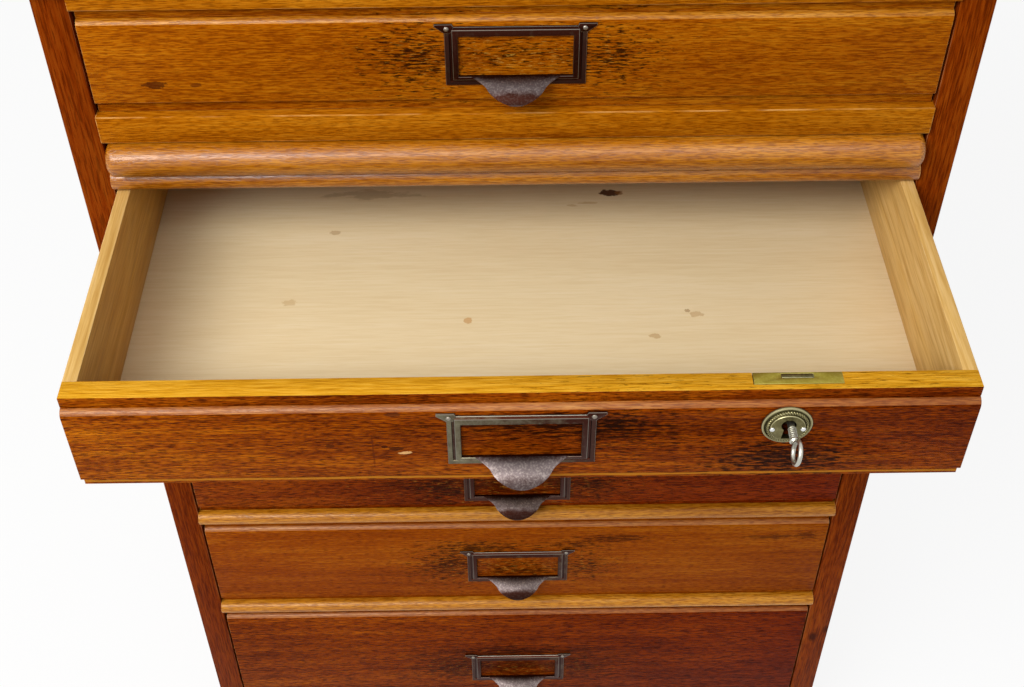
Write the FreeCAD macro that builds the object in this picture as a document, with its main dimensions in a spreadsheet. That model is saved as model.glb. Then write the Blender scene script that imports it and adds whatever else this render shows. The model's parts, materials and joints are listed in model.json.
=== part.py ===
"""Haberdashery cabinet: a narrow oak carcass with seven dovetailed drawers, a pull-out writing
slide, pressed card-frame pulls and one locking drawer that stands open with its key in the lock.

Millimetres, +Z up, +X to the right, the front towards -Y. The origin is on the floor, under the
middle of the whole object with the locking drawer drawn out to its place of rest."""

import FreeCAD, Part
import math
import os
import types
import Sketcher

SIZES = {
    # Carcass
    "outer_width": 600.0,            # over the two front posts
    "case_depth": 420.0,             # front of the posts to the back of the back boards
    "post_face": 22.5,               # posts, seen from the front
    "post_depth": 50.0,
    "foot_gap": 6.0,                 # kick board and side rails clear the floor
    "kick_height": 70.0,             # floor to the top of the kick board
    "kick_setback": 5.0,
    "kick_thickness": 18.0,
    "top_thickness": 22.0,
    "top_overhang": 8.0,
    "top_edge_radius": 5.0,
    "rail_depth": 45.0,              # front rails, from nose to back
    "bottom_rail_height": 20.0,
    "drawer_rail_height": 13.0,
    "slide_bead_height": 15.5,
    "slide_head_height": 21.0,
    "top_rail_height": 15.0,
    "bead_projection": 5.0,          # rounded noses stand this far beyond the posts
    "square_projection": 3.0,        # square-edged rails
    "tenon_length": 12.0,
    "tenon_shoulder": 2.0,
    "tenon_setback": 14.0,           # post face to tenon
    "tenon_thickness": 16.0,
    "side_rail_height": 60.0,
    "side_rail_inset": 3.0,          # side rails lie this far inside the posts' outer faces
    "side_tenon_thickness": 9.0,
    "panel_thickness": 8.0,
    "panel_offset": 6.0,             # inner face of the side frame to the panel
    "panel_groove": 8.0,
    "back_thickness": 6.0,
    "back_rebate": 8.0,
    "back_board_gap": 1.0,
    "rear_rail_thickness": 18.0,
    "runner_width": 16.0,
    "stop_length": 30.0,
    "stop_depth": 12.0,
    "stop_height": 3.6,
    "stop_inset": 57.5,              # post to the far end of each stop
    "stop_clearance": 0.3,
    # Drawers
    "running_gap": 0.5,              # above and below each drawer
    "side_gap": 2.0,                 # drawer end to post
    "small_drawer_height": 79.0,
    "middle_drawer_height": 120.0,
    "deep_drawer_height": 188.0,
    "drawer_back_gap": 17.0,         # behind a closed drawer
    "face_proud": 1.0,               # a closed drawer's face stands beyond the posts
    "open_travel": 200.0,            # how far the locking drawer is drawn out at rest
    "front_thickness": 18.5,
    "lip_height": 9.5,
    "mould_setback": 4.5,            # lip and top fillet lie behind the face
    "fillet_height": 7.7,
    "quirk_width": 0.6,
    "ovolo_radius": 5.0,
    "side_thickness": 9.0,
    "back_board_thickness": 9.0,
    "back_drop": 3.0,                # drawer back below the sides' top edge
    "lap_length": 12.5,              # dovetails let into the front
    "pin_width": 7.0,                # pins between tails, at the tails' wide end
    "tail_slope": 0.16,              # dovetail flare on each flank
    "bottom_rise": 4.0,              # drawer's lower edge to the bottom board
    "bottom_thickness": 5.0,
    "groove_depth": 4.5,
    "front_groove_depth": 6.0,
    # Writing slide
    "slide_thickness": 24.0,
    "slide_gap": 1.0,                # above and below the slide
    "slide_projection": 15.0,
    "slide_lipping_depth": 45.0,
    "slide_board_thickness": 22.0,
    "slide_depth": 340.0,
    "slide_end_radius": 6.0,
    "slide_tongue": 8.0,
    "slide_tongue_thickness": 8.0,
    # Pulls: a pressed card frame with a finger cup
    "frame_width": 90.5,
    "frame_height": 45.5,
    "window_width": 73.5,
    "window_height": 30.0,
    "window_rise": 7.0,              # frame's lower edge to the window
    "plate_thickness": 1.1,
    "band_width": 4.3,
    "band_height": 2.5,
    "band_taper": 28.0,              # degrees of draft on the raised band
    "ear_reach": 6.2,
    "ear_height": 6.4,               # ear's top edge to the foot of its slope
    "ear_tip": 1.8,                  # height of the ear's blunt tip
    "ear_rise": 2.1,                 # ears above the frame's upper bar
    "cup_width": 59.0,
    "cup_reach": 19.5,
    "cup_root": 2.3,                 # depth behind the raised band, where the cup is widest
    "cup_waist": 40.0,
    "cup_waist_reach": 9.4,
    "cup_shoulder_radius": 14.0,
    "cup_tip_radius": 19.5,
    "cup_sheet": 1.2,
    "cup_bend_radius": 22.0,
    "pull_pin_spread": 43.8,
    "pull_pin_drop": 3.2,
    "pin_head_radius": 1.7,
    "pin_top_radius": 0.9,
    "pin_head_height": 1.2,
    "pull_rise_high": 4.5,           # pull's middle above the drawer's middle, two top drawers
    "pull_rise_small": -2.0,
    "pull_rise_large": -6.0,
    # Lock
    "lock_inset": 109.5,             # drawer's right end to the middle of the lock
    "key_step": 3.5,                 # middle of the lock to the key
    "key_drop": 23.5,                # drawer's top edge to the key's axis
    "selvedge_length": 54.5,
    "selvedge_width": 9.9,
    "selvedge_thickness": 1.8,
    "lock_plate_height": 40.0,
    "lock_plate_thickness": 0.9,
    "lock_case_width": 48.0,
    "lock_case_depth": 8.4,
    "lock_wall": 1.2,
    "bolt_width": 19.0,
    "bolt_thickness": 3.4,
    "bolt_clearance": 0.3,
    "bolt_travel": 7.0,
    "bolt_lift_gap": 0.4,            # bolt's lower edge above the key's stem
    "strike_length": 44.0,
    "strike_width": 14.0,
    "strike_thickness": 1.5,
    "keyhole_step": 1.4,             # key's axis to the middle of the keyhole
    "keyhole_radius": 4.6,
    "keyhole_slot": 6.0,
    "keyhole_foot": 7.4,             # width of the slot at its lower end
    "keyhole_drop": 11.8,
    "escutcheon_step": 1.8,          # key's axis to the middle of the escutcheon, sideways
    "escutcheon_drop": 2.5,          # and downwards
    "escutcheon_radius": 15.6,
    "escutcheon_thickness": 1.2,
    "escutcheon_rim": 2.1,
    "escutcheon_rim_height": 1.9,
    "escutcheon_ring_radius": 12.1,
    "escutcheon_ring_width": 2.0,
    "escutcheon_boss_radius": 10.8,
    "escutcheon_boss_height": 3.4,
    "nail_spread": 9.4,
    "nail_drop": 3.0,
    "stem_radius": 2.3,
    "collar_radius": 3.1,
    "collar_width": 1.4,
    "stem_visible": 16.6,            # face to the near side of the bow
    "bow_radius": 7.0,
    "bow_wire_radius": 1.4,
    "bit_reach": 8.5,
    "bit_thickness": 2.4,
    "bit_width": 5.0,
    "key_end_gap": 0.4,
}

BACK_BOARDS = 5
SMALL_TAILS = 2
MIDDLE_TAILS = 3
DEEP_TAILS = 4

doc = FreeCAD.newDocument("haberdashery_cabinet")
nodes = []


# ---------------------------------------------------------------- sizes and expressions

class Dim:
    """A length that carries its value and the spreadsheet expression it comes from."""

    def __init__(self, value, text):
        self.value = value
        self.text = text

    def __add__(self, other):
        other = as_dim(other)
        return Dim(self.value + other.value, f"({self.text} + {other.text})")

    def __sub__(self, other):
        other = as_dim(other)
        return Dim(self.value - other.value, f"({self.text} - {other.text})")

    def __mul__(self, other):
        other = as_dim(other)
        return Dim(self.value * other.value, f"{self.text} * {other.text}")

    def __truediv__(self, number):
        return Dim(self.value / number, f"{self.text} / {number}")

    def __neg__(self):
        return Dim(-self.value, f"(0 - {self.text})")


def as_dim(value):
    """A plain number is a Dim whose text is that number."""
    return value if isinstance(value, Dim) else Dim(float(value), f"({float(value)})")


def make_sheet():
    """The driving dimensions, one alias per row, and a Dim for each."""
    sheet = doc.addObject("Spreadsheet::Sheet", "Sizes")
    dims = {}
    for row, (alias, value) in enumerate(SIZES.items(), start=1):
        sheet.set(f"A{row}", alias)
        sheet.set(f"B{row}", str(value))
        sheet.setAlias(f"B{row}", alias)
        dims[alias] = Dim(value, f"Sizes.{alias}")
    doc.recompute()
    return types.SimpleNamespace(**dims)


S = make_sheet()
ZERO = as_dim(0)


def bind(obj, **properties):
    """Ties properties of an object to the sheet."""
    for name, dim in properties.items():
        setattr(obj, name, dim.value)
        obj.setExpression(name, dim.text)


def place(obj, x, y, z, rotation=None):
    """Puts an object at a point tied to the sheet."""
    if rotation:
        obj.Placement.Rotation = rotation
    for axis, value in zip("xyz", (x, y, z)):
        obj.setExpression(f".Placement.Base.{axis}", as_dim(value).text)


# ---------------------------------------------------------------- primitives and booleans

ALONG_Y = FreeCAD.Rotation(FreeCAD.Vector(1, 0, 0), -90)


def box(name, xs, ys, zs):
    """A box between pairs of limits on each axis."""
    obj = doc.addObject("Part::Box", name)
    xs, ys, zs = ([as_dim(value) for value in pair] for pair in (xs, ys, zs))
    bind(obj, Length=xs[1] - xs[0], Width=ys[1] - ys[0], Height=zs[1] - zs[0])
    place(obj, xs[0], ys[0], zs[0])
    return obj


def rod(name, radius, length, x, y, z):
    """A cylinder along +Y from the given point."""
    obj = doc.addObject("Part::Cylinder", name)
    bind(obj, Radius=radius, Height=length)
    place(obj, x, y, z, ALONG_Y)
    return obj


def compound(name, pieces):
    """Several solids kept apart in one object."""
    obj = doc.addObject("Part::Compound", name)
    obj.Links = pieces
    return obj


def cut(name, base, *tools):
    """The base less the tools."""
    obj = doc.addObject("Part::Cut", name)
    obj.Base = base
    obj.Tool = tools[0] if len(tools) == 1 else compound(f"{name}_tools", list(tools))
    return obj


def fuse(name, *pieces):
    """Several pieces made one solid."""
    obj = doc.addObject("Part::MultiFuse", name)
    obj.Shapes = list(pieces)
    return obj


def mirrored(name, source):
    """The same piece on the other side of the middle."""
    obj = doc.addObject("Part::Mirroring", name)
    obj.Source = source
    obj.Normal = FreeCAD.Vector(1, 0, 0)
    return obj


def node(name, obj):
    """Marks an object as a finished sub-part and names its file."""
    obj.Label = name
    nodes.append(obj)
    return obj


# ---------------------------------------------------------------- sketches and bodies

def new_body(name):
    return doc.addObject("PartDesign::Body", name)


def origin_plane(body, role):
    return next(item for item in body.Origin.OriginFeatures if item.Role == role)


def new_sketch(body, role, name, offset=None):
    """A sketch on one of the body's own origin planes, moved along its normal if asked."""
    sketch = body.newObject("Sketcher::SketchObject", name)
    sketch.AttachmentSupport = [(origin_plane(body, role), "")]
    sketch.MapMode = "FlatFace"
    if offset is not None:
        sketch.setExpression(".AttachmentOffset.Base.z", offset.text)
    return sketch


def pin_point(sketch, geometry, position, x, y):
    """Holds a sketch point at distances from the sketch's origin that follow the sheet."""
    for kind, dim in (("DistanceX", as_dim(x)), ("DistanceY", as_dim(y))):
        rule = Sketcher.Constraint(kind, -1, 1, geometry, position, dim.value)
        index = sketch.addConstraint(rule)
        sketch.setExpression(f"Constraints[{index}]", dim.text)


def arc_between(start, end, radius, turn):
    """The shorter arc from start to end; turn is 1 anticlockwise and -1 clockwise."""
    chord = end - start
    middle = (start + end) * 0.5
    height = math.sqrt(max(radius ** 2 - (chord.Length / 2) ** 2, 0.0))
    normal = FreeCAD.Vector(-chord.y, chord.x, 0).normalize()
    centre = middle + normal * (height * turn)
    first, last = (start, end) if turn > 0 else (end, start)
    angles = [math.atan2(point.y - centre.y, point.x - centre.x) for point in (first, last)]
    circle = Part.Circle(centre, FreeCAD.Vector(0, 0, 1), radius)
    return Part.ArcOfCircle(circle, angles[0], angles[1])


def outline(sketch, corners):
    """A closed outline. A corner is (x, y), or (x, y, radius, turn) where an arc follows it."""
    points = [FreeCAD.Vector(as_dim(c[0]).value, as_dim(c[1]).value, 0) for c in corners]
    first = sketch.GeometryCount
    ends = []
    for index, corner in enumerate(corners):
        start, end = points[index], points[(index + 1) % len(points)]
        if len(corner) == 4:
            radius, turn = corner[2:]
            sketch.addGeometry(arc_between(start, end, radius.value, turn))
            ends.append((1, 2) if turn > 0 else (2, 1))
        else:
            sketch.addGeometry(Part.LineSegment(start, end))
            ends.append((1, 2))
    for index, corner in enumerate(corners):
        after = (index + 1) % len(corners)
        here, there = first + index, first + after
        joint = Sketcher.Constraint("Coincident", here, ends[index][1], there, ends[after][0])
        sketch.addConstraint(joint)
    for index, corner in enumerate(corners):
        pin_point(sketch, first + index, ends[index][0], corner[0], corner[1])
        if len(corner) == 4:
            rule = Sketcher.Constraint("Radius", first + index, corner[2].value)
            number = sketch.addConstraint(rule)
            sketch.setExpression(f"Constraints[{number}]", corner[2].text)


def rectangle(x0, x1, y0, y1):
    """The four corners of a rectangle."""
    return [(x0, y0), (x1, y0), (x1, y1), (x0, y1)]


def pad(body, sketch, length, midplane=False, backwards=False, taper=None):
    """Extrudes a sketch along its normal."""
    feature = body.newObject("PartDesign::Pad", f"{sketch.Name}_pad")
    feature.Profile = sketch
    bind(feature, Length=length)
    feature.Midplane = midplane
    feature.Reversed = backwards
    if taper is not None:
        bind(feature, TaperAngle=taper)
    return feature


def revolve(body, sketch, axis):
    """Turns a half profile round one axis of its sketch."""
    feature = body.newObject("PartDesign::Revolution", f"{sketch.Name}_turned")
    feature.Profile = sketch
    feature.ReferenceAxis = (sketch, [axis])
    feature.Angle = 360
    return feature


def repeat_upwards(body, feature, sketch, count, pitch):
    """Repeats a feature along the sketch's vertical axis."""
    pattern = body.newObject("PartDesign::LinearPattern", f"{feature.Name}_row")
    pattern.Originals = [feature]
    pattern.Direction = (sketch, ["V_Axis"])
    pattern.Occurrences = count
    bind(pattern, Length=pitch * (count - 1))
    body.Tip = pattern
    return pattern


def round_edges(body, feature, radius, wanted):
    """Fillets the edges of a feature that the test picks by their middle point."""
    doc.recompute()
    edges = feature.Shape.Edges
    names = [f"Edge{i}" for i, edge in enumerate(edges, start=1) if wanted(edge.CenterOfMass)]
    fillet = body.newObject("PartDesign::Fillet", f"{feature.Name}_round")
    fillet.Base = (feature, names)
    bind(fillet, Radius=radius)
    return fillet


# ---------------------------------------------------------------- shared places

key_stand_out = S.stem_visible + (S.bow_radius + S.bow_wire_radius) * 2
FRONT = (S.open_travel + S.face_proud + key_stand_out - S.case_depth) / 2
BACK = FRONT + S.case_depth
HALF = S.outer_width / 2
INNER = HALF - S.post_face
DRAWER_HALF = INNER - S.side_gap
LOCK_X = DRAWER_HALF - S.lock_inset
KEY_X = LOCK_X - S.key_step
KEYHOLE_X = KEY_X - S.keyhole_step
ESCUTCHEON_X = KEY_X - S.escutcheon_step
CLOSED_FACE = FRONT - S.face_proud
OPEN_FACE = CLOSED_FACE - S.open_travel
DRAWER_DEPTH = (BACK - S.back_thickness - S.rear_rail_thickness - S.drawer_back_gap) - CLOSED_FACE


def stack():
    """Levels of the front from the floor up: (lower, upper) heights by name."""
    levels = {}
    z = S.kick_height
    levels["bottom_rail"] = (z, z + S.bottom_rail_height)
    z = z + S.bottom_rail_height
    heights = [S.deep_drawer_height, S.middle_drawer_height] + [S.small_drawer_height] * 4
    for number, height in zip(range(7, 1, -1), heights):
        low = z + S.running_gap
        levels[f"drawer_{number}"] = (low, low + height)
        z = low + height + S.running_gap
        if number > 2:
            levels[f"rail_{number}"] = (z, z + S.drawer_rail_height)
            z = z + S.drawer_rail_height
    levels["slide_bead"] = (z, z + S.slide_bead_height)
    z = z + S.slide_bead_height + S.slide_gap
    levels["slide"] = (z, z + S.slide_thickness)
    z = z + S.slide_thickness + S.slide_gap
    levels["slide_head"] = (z, z + S.slide_head_height)
    z = z + S.slide_head_height + S.running_gap
    levels["drawer_1"] = (z, z + S.small_drawer_height)
    z = z + S.small_drawer_height + S.running_gap
    levels["top_rail"] = (z, z + S.top_rail_height)
    return levels


LEVELS = stack()
CASE_TOP = LEVELS["top_rail"][1]


# ---------------------------------------------------------------- front rails

def with_tenons(name, rail, low, high):
    """A rail with one tenon at each end, on a bar that runs through it."""
    reach = INNER + S.tenon_length
    front = FRONT + S.tenon_setback
    tenons = box(f"{name}_tenons", (-reach, reach), (front, front + S.tenon_thickness),
                 (low + S.tenon_shoulder, high - S.tenon_shoulder))
    return fuse(f"{name}_piece", rail, tenons)


def bead_rail(name, level):
    """A rail whose nose is a full half round, made as two quarter arcs."""
    low, high = LEVELS[level]
    height = high - low
    radius = height / 2
    body = new_body(f"{name}_body")
    sketch = new_sketch(body, "YZ_Plane", f"{name}_section")
    outline(sketch, [(S.rail_depth, ZERO), (S.rail_depth, height), (radius, height, radius, 1),
                     (ZERO, radius, radius, 1), (radius, ZERO)])
    pad(body, sketch, INNER * 2, midplane=True)
    place(body, ZERO, FRONT - S.bead_projection, low)
    return with_tenons(name, body, low, high)


def square_rail(name, level, projection):
    """A plain rail with a square front edge."""
    low, high = LEVELS[level]
    front = FRONT - projection
    back = FRONT + S.rail_depth - S.bead_projection
    rail = box(f"{name}_bar", (-INNER, INNER), (front, back), (low, high))
    return with_tenons(name, rail, low, high)


RAIL_BACK = FRONT + S.rail_depth - S.bead_projection
lock_back = CLOSED_FACE + S.front_thickness
bolt_back = lock_back - S.lock_plate_thickness
bolt_front = bolt_back - S.bolt_thickness


def bolt_mouth(name, clearance, low, high):
    """The space the raised bolt enters, in the rail over the locking drawer."""
    reach = S.bolt_width / 2 + clearance
    return box(name, (LOCK_X - reach, LOCK_X + reach),
               (bolt_front - clearance, bolt_back + clearance), (low, high))


def make_strike():
    """The brass strike in the underside of the slide's bead rail, and its mortise."""
    low = LEVELS["slide_bead"][0]
    half = S.strike_length / 2
    middle = (bolt_front + bolt_back) / 2
    plate = box("strike_blank", (LOCK_X - half, LOCK_X + half),
                (middle - S.strike_width / 2, middle + S.strike_width / 2),
                (low, low + S.strike_thickness))
    mouth_top = low + S.bolt_travel + S.bolt_clearance * 2
    mouth = bolt_mouth("bolt_mouth", S.bolt_clearance, low, mouth_top)
    node("lock_strike", cut("strike", plate, mouth))
    return plate, mouth


def make_front_rails():
    """All the rails between the posts, top to bottom."""
    strike_plate, mouth = make_strike()
    bead = bead_rail("slide_bead_rail", "slide_bead")
    bead = node("slide_bead_rail", cut("slide_bead_cut", bead, strike_plate, mouth))
    head = node("slide_head_rail", square_rail("slide_head", "slide_head", S.square_projection))
    top = node("top_rail", square_rail("top_rail_bar", "top_rail", S.square_projection))
    bottom = node("bottom_rail", square_rail("bottom_rail_bar", "bottom_rail", ZERO))
    between = [bead_rail(f"drawer_rail_{number}", f"rail_{number}") for number in range(3, 8)]
    group = node("drawer_rails", compound("drawer_rail_group", between))
    return [bead, head, top, bottom, group]


# ---------------------------------------------------------------- side frames, back and top

SIDE_FRONT = FRONT + S.post_depth
SIDE_BACK = BACK - S.post_depth
SIDE_LEVELS = {
    "lower": (S.foot_gap, S.kick_height + S.bottom_rail_height),
    "middle": ((CASE_TOP - S.side_rail_height) / 2, (CASE_TOP + S.side_rail_height) / 2),
    "upper": (CASE_TOP - S.side_rail_height, CASE_TOP),
}


def side_panel(name, low, high):
    """A panel let into grooves of the posts and rails around it."""
    inner = INNER + S.panel_offset
    return box(name, (inner, inner + S.panel_thickness),
               (SIDE_FRONT - S.panel_groove, SIDE_BACK + S.panel_groove),
               (low - S.panel_groove, high + S.panel_groove))


def side_rail(name, low, high):
    """A side rail with a tenon at each end."""
    bar = box(f"{name}_bar", (INNER, HALF - S.side_rail_inset), (SIDE_FRONT, SIDE_BACK), (low, high))
    inner = INNER + S.panel_offset
    tenon = box(f"{name}_tenons", (inner, inner + S.side_tenon_thickness),
                (SIDE_FRONT - S.tenon_length, SIDE_BACK + S.tenon_length),
                (low + S.panel_groove, high - S.panel_groove))
    return fuse(f"{name}_piece", bar, tenon)


def make_side_frames():
    """Rails and panels of the right side, and their mirror images on the left."""
    panels = [side_panel("side_panel_lower", SIDE_LEVELS["lower"][1], SIDE_LEVELS["middle"][0]),
              side_panel("side_panel_upper", SIDE_LEVELS["middle"][1], SIDE_LEVELS["upper"][0])]
    rails = [side_rail(f"side_rail_{name}", *SIDE_LEVELS[name]) for name in SIDE_LEVELS]
    panel_set = compound("side_panels_right", panels)
    rail_set = cut("side_rails_right", compound("side_rails_blank", rails), panel_set)
    both_panels = compound("side_panel_pair", [panel_set, mirrored("side_panels_left", panel_set)])
    both_rails = compound("side_rail_pair", [rail_set, mirrored("side_rails_left", rail_set)])
    node("side_panels", both_panels)
    node("side_rails", both_rails)
    return both_panels, both_rails


def make_back():
    """Vertical back boards in a rebate of the rear posts, on three rear rails."""
    reach = INNER + S.back_rebate
    front = BACK - S.back_thickness
    pitch = (reach * 2 + S.back_board_gap) / BACK_BOARDS
    boards = []
    for number in range(BACK_BOARDS):
        left = pitch * number - reach
        boards.append(box(f"back_board_{number + 1}", (left, left + pitch - S.back_board_gap),
                          (front, BACK), (S.foot_gap, CASE_TOP)))
    panel = node("back_panel", compound("back_boards", boards))
    rails = []
    for name, (low, high) in SIDE_LEVELS.items():
        bar_limits = (front - S.rear_rail_thickness, front)
        bar = box(f"rear_rail_{name}_bar", (-INNER, INNER), bar_limits, (low, high))
        end = INNER + S.tenon_length
        tenon = box(f"rear_rail_{name}_tenons", (-end, end),
                    (front - S.rear_rail_thickness + S.tenon_shoulder, front - S.tenon_shoulder),
                    (low + S.panel_groove, high - S.panel_groove))
        rails.append(fuse(f"rear_rail_{name}", bar, tenon))
    rear = node("rear_rails", compound("rear_rail_group", rails))
    return panel, rear


def post(name, ys, left, mortised):
    """A corner post, with every mortise and groove that its rails and panels need."""
    xs = (-HALF, -INNER) if left else (INNER, HALF)
    return cut(name, box(f"{name}_blank", xs, ys, (ZERO, CASE_TOP)), *mortised)


def make_posts(front_rails, panels, side_rails, back, rear_rails):
    """Two front posts and two rear posts."""
    front_tools = front_rails + [panels, side_rails]
    rear_tools = [panels, side_rails, back, rear_rails]
    node("front_post_left", post("post_fl", (FRONT, SIDE_FRONT), True, front_tools))
    node("front_post_right", post("post_fr", (FRONT, SIDE_FRONT), False, front_tools))
    rear = [post("post_rl", (SIDE_BACK, BACK), True, rear_tools),
            post("post_rr", (SIDE_BACK, BACK), False, rear_tools)]
    node("rear_posts", compound("rear_post_pair", rear))


def make_top():
    """The top board, its upper edge rounded at the front and the two ends."""
    body = new_body("top_body")
    sketch = new_sketch(body, "XY_Plane", "top_plan")
    reach = HALF + S.top_overhang
    outline(sketch, rectangle(-reach, reach, FRONT - S.top_overhang, BACK))
    board = pad(body, sketch, S.top_thickness)
    high = S.top_thickness.value
    back = BACK.value
    round_edges(body, board, S.top_edge_radius,
                lambda point: abs(point.z - high) < 0.01 and point.y < back - 0.01)
    place(body, ZERO, ZERO, CASE_TOP)
    node("top_board", body)


def make_kick_board():
    """The board that closes the front under the bottom rail."""
    front = FRONT + S.kick_setback
    node("kick_board", box("kick", (-INNER, INNER), (front, front + S.kick_thickness),
                           (S.foot_gap, S.kick_height)))


def make_runners():
    """Hardwood strips behind each front rail, which carry the drawers and the slide."""
    strips = []
    names = ["bottom_rail", "slide_bead", "slide_head", "top_rail"]
    names += [f"rail_{number}" for number in range(3, 8)]
    rear = BACK - S.back_thickness - S.rear_rail_thickness
    for name in names:
        low, high = LEVELS[name]
        strip = box(f"runner_{name}", (INNER - S.runner_width, INNER), (RAIL_BACK, rear),
                    (low, high))
        strips += [strip, mirrored(f"runner_{name}_left", strip)]
    node("runners", compound("runner_group", strips))


def make_stops():
    """Two small blocks on the rail under each drawer, just behind the closed front."""
    blocks = []
    front = CLOSED_FACE + S.front_thickness + S.stop_clearance
    outer = INNER - S.stop_inset
    for number in range(1, 8):
        floor = LEVELS[f"drawer_{number}"][0] - S.running_gap
        block = box(f"stop_{number}", (outer - S.stop_length, outer),
                    (front, front + S.stop_depth), (floor, floor + S.stop_height))
        blocks += [block, mirrored(f"stop_{number}_left", block)]
    node("drawer_stops", compound("stop_group", blocks))


# ---------------------------------------------------------------- writing slide

def make_slide():
    """A board with a bullnosed lipping on its front edge, joined by a tongue."""
    low, high = LEVELS["slide"]
    thickness = high - low
    radius = thickness / 2
    body = new_body("slide_lipping_body")
    sketch = new_sketch(body, "YZ_Plane", "slide_lipping_section")
    depth = S.slide_lipping_depth
    outline(sketch, [(depth, ZERO), (depth, thickness), (radius, thickness, radius, 1),
                     (ZERO, radius, radius, 1), (radius, ZERO)])
    lipping = pad(body, sketch, DRAWER_HALF * 2, midplane=True)
    end, behind = DRAWER_HALF.value, depth.value
    round_edges(body, lipping, S.slide_end_radius,
                lambda point: abs(abs(point.x) - end) < 0.01 and point.y < behind - 0.01)
    place(body, ZERO, FRONT - S.slide_projection, low)
    join = FRONT - S.slide_projection + depth
    rest = LEVELS["slide_bead"][1] + S.running_gap
    board = box("slide_plank", (-DRAWER_HALF, DRAWER_HALF),
                (join, FRONT - S.slide_projection + S.slide_depth),
                (rest, rest + S.slide_board_thickness))
    middle = rest + S.slide_board_thickness / 2
    half = S.slide_tongue_thickness / 2
    inset = DRAWER_HALF - S.slide_tongue * 2
    tongue = box("slide_tongue_bar", (-inset, inset), (join - S.slide_tongue, join + S.slide_tongue),
                 (middle - half, middle + half))
    board = node("slide_board", fuse("slide_board_piece", board, tongue))
    node("slide_lipping", cut("slide_lipping_grooved", body, board))


# ---------------------------------------------------------------- pulls

def pull_plate(name, x, y, z):
    """The flat of the card frame with its window and two ears, and the raised band."""
    body = new_body(f"{name}_plate")
    half = S.frame_width / 2
    ear = half + S.ear_reach
    top, bar = S.frame_height, S.frame_height - S.ear_rise
    tip, foot = top - S.ear_tip, top - S.ear_height
    window = S.window_width / 2
    wide = window + S.band_width
    low, high = S.window_rise, S.window_rise + S.window_height
    flat = new_sketch(body, "XZ_Plane", f"{name}_flat")
    outline(flat, [(-half, ZERO), (half, ZERO), (half, foot), (ear, tip), (ear, top), (wide, top),
                   (wide, bar), (-wide, bar), (-wide, top), (-ear, top), (-ear, tip),
                   (-half, foot)])
    outline(flat, rectangle(-window, window, low, high))
    pad(body, flat, S.plate_thickness)
    band = new_sketch(body, "XZ_Plane", f"{name}_band")
    outline(band, rectangle(-wide, wide, low - S.band_width, bar))
    outline(band, rectangle(-window, window, low, high))
    pad(body, band, S.band_height, taper=-S.band_taper)
    place(body, x, y, z)
    return body


def cup_outline(name):
    """Plan of the finger cup: wide at the frame, hollow shoulders, then a round tip."""
    body = new_body(f"{name}_plan")
    sketch = new_sketch(body, "XY_Plane", f"{name}_plan_outline")
    half, waist = S.cup_width / 2, S.cup_waist / 2
    shoulder, tip = S.cup_shoulder_radius, S.cup_tip_radius
    outline(sketch, [(half, ZERO), (-half, ZERO), (-half, -S.cup_root, shoulder, -1),
                     (-waist, -S.cup_waist_reach, tip, 1), (ZERO, -S.cup_reach, tip, 1),
                     (waist, -S.cup_waist_reach, shoulder, -1), (half, -S.cup_root)])
    pad(body, sketch, S.cup_bend_radius)
    return body


def finger_cup(name, x, y, z):
    """A sheet bent through a quarter turn, forwards and down, and trimmed to its plan."""
    top = z + S.window_rise
    body = new_body(f"{name}_bent")
    sketch = new_sketch(body, "YZ_Plane", f"{name}_bend")
    outer, inner = S.cup_bend_radius, S.cup_bend_radius - S.cup_sheet
    outline(sketch, [(ZERO, outer, outer, 1), (-outer, ZERO), (-inner, ZERO, inner, -1),
                     (ZERO, inner)])
    pad(body, sketch, S.cup_width, midplane=True)
    place(body, x, y, top - S.cup_bend_radius)
    plan = cup_outline(name)
    place(plan, x, y, top - S.cup_bend_radius)
    trimmed = doc.addObject("Part::Common", f"{name}_trim")
    trimmed.Base = body
    trimmed.Tool = plan
    return trimmed


def pin_head(name, x, y, z, seat):
    """A pin's raised head, standing on the metal that it holds."""
    head = doc.addObject("Part::Cone", name)
    bind(head, Radius1=S.pin_top_radius, Radius2=S.pin_head_radius, Height=S.pin_head_height)
    place(head, x, y - seat - S.pin_head_height, z, ALONG_Y)
    return head


def make_pull(name, face, middle):
    """One pull with its two pins; face is the drawer's face and middle the frame's middle."""
    low = middle - S.frame_height / 2
    plate = pull_plate(name, ZERO, face, low)
    cup = finger_cup(name, ZERO, face, low)
    pressed = fuse(f"{name}_pressed", plate, cup)
    height = low + S.frame_height - S.pull_pin_drop
    pins = [pin_head(f"{name}_pin_{side}", S.pull_pin_spread * sign, face, height,
                     S.plate_thickness) for side, sign in (("left", -1), ("right", 1))]
    node(name, compound(f"{name}_set", [pressed] + pins))


# ---------------------------------------------------------------- drawers

def front_blank(name, face, low, height):
    """The moulded section of a drawer front, run from end to end."""
    body = new_body(f"{name}_moulded")
    sketch = new_sketch(body, "YZ_Plane", f"{name}_section")
    back, behind = S.front_thickness, S.mould_setback
    quirk = height - S.fillet_height
    bead_top = quirk - S.quirk_width
    bead_low = bead_top - S.ovolo_radius
    outline(sketch, [(back, ZERO), (back, height), (behind, height), (behind, quirk),
                     (S.ovolo_radius, quirk), (S.ovolo_radius, bead_top, S.ovolo_radius, 1),
                     (ZERO, bead_low), (ZERO, S.lip_height), (behind, S.lip_height),
                     (behind, ZERO)])
    pad(body, sketch, DRAWER_HALF * 2, midplane=True)
    place(body, ZERO, face, low)
    return body


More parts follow.
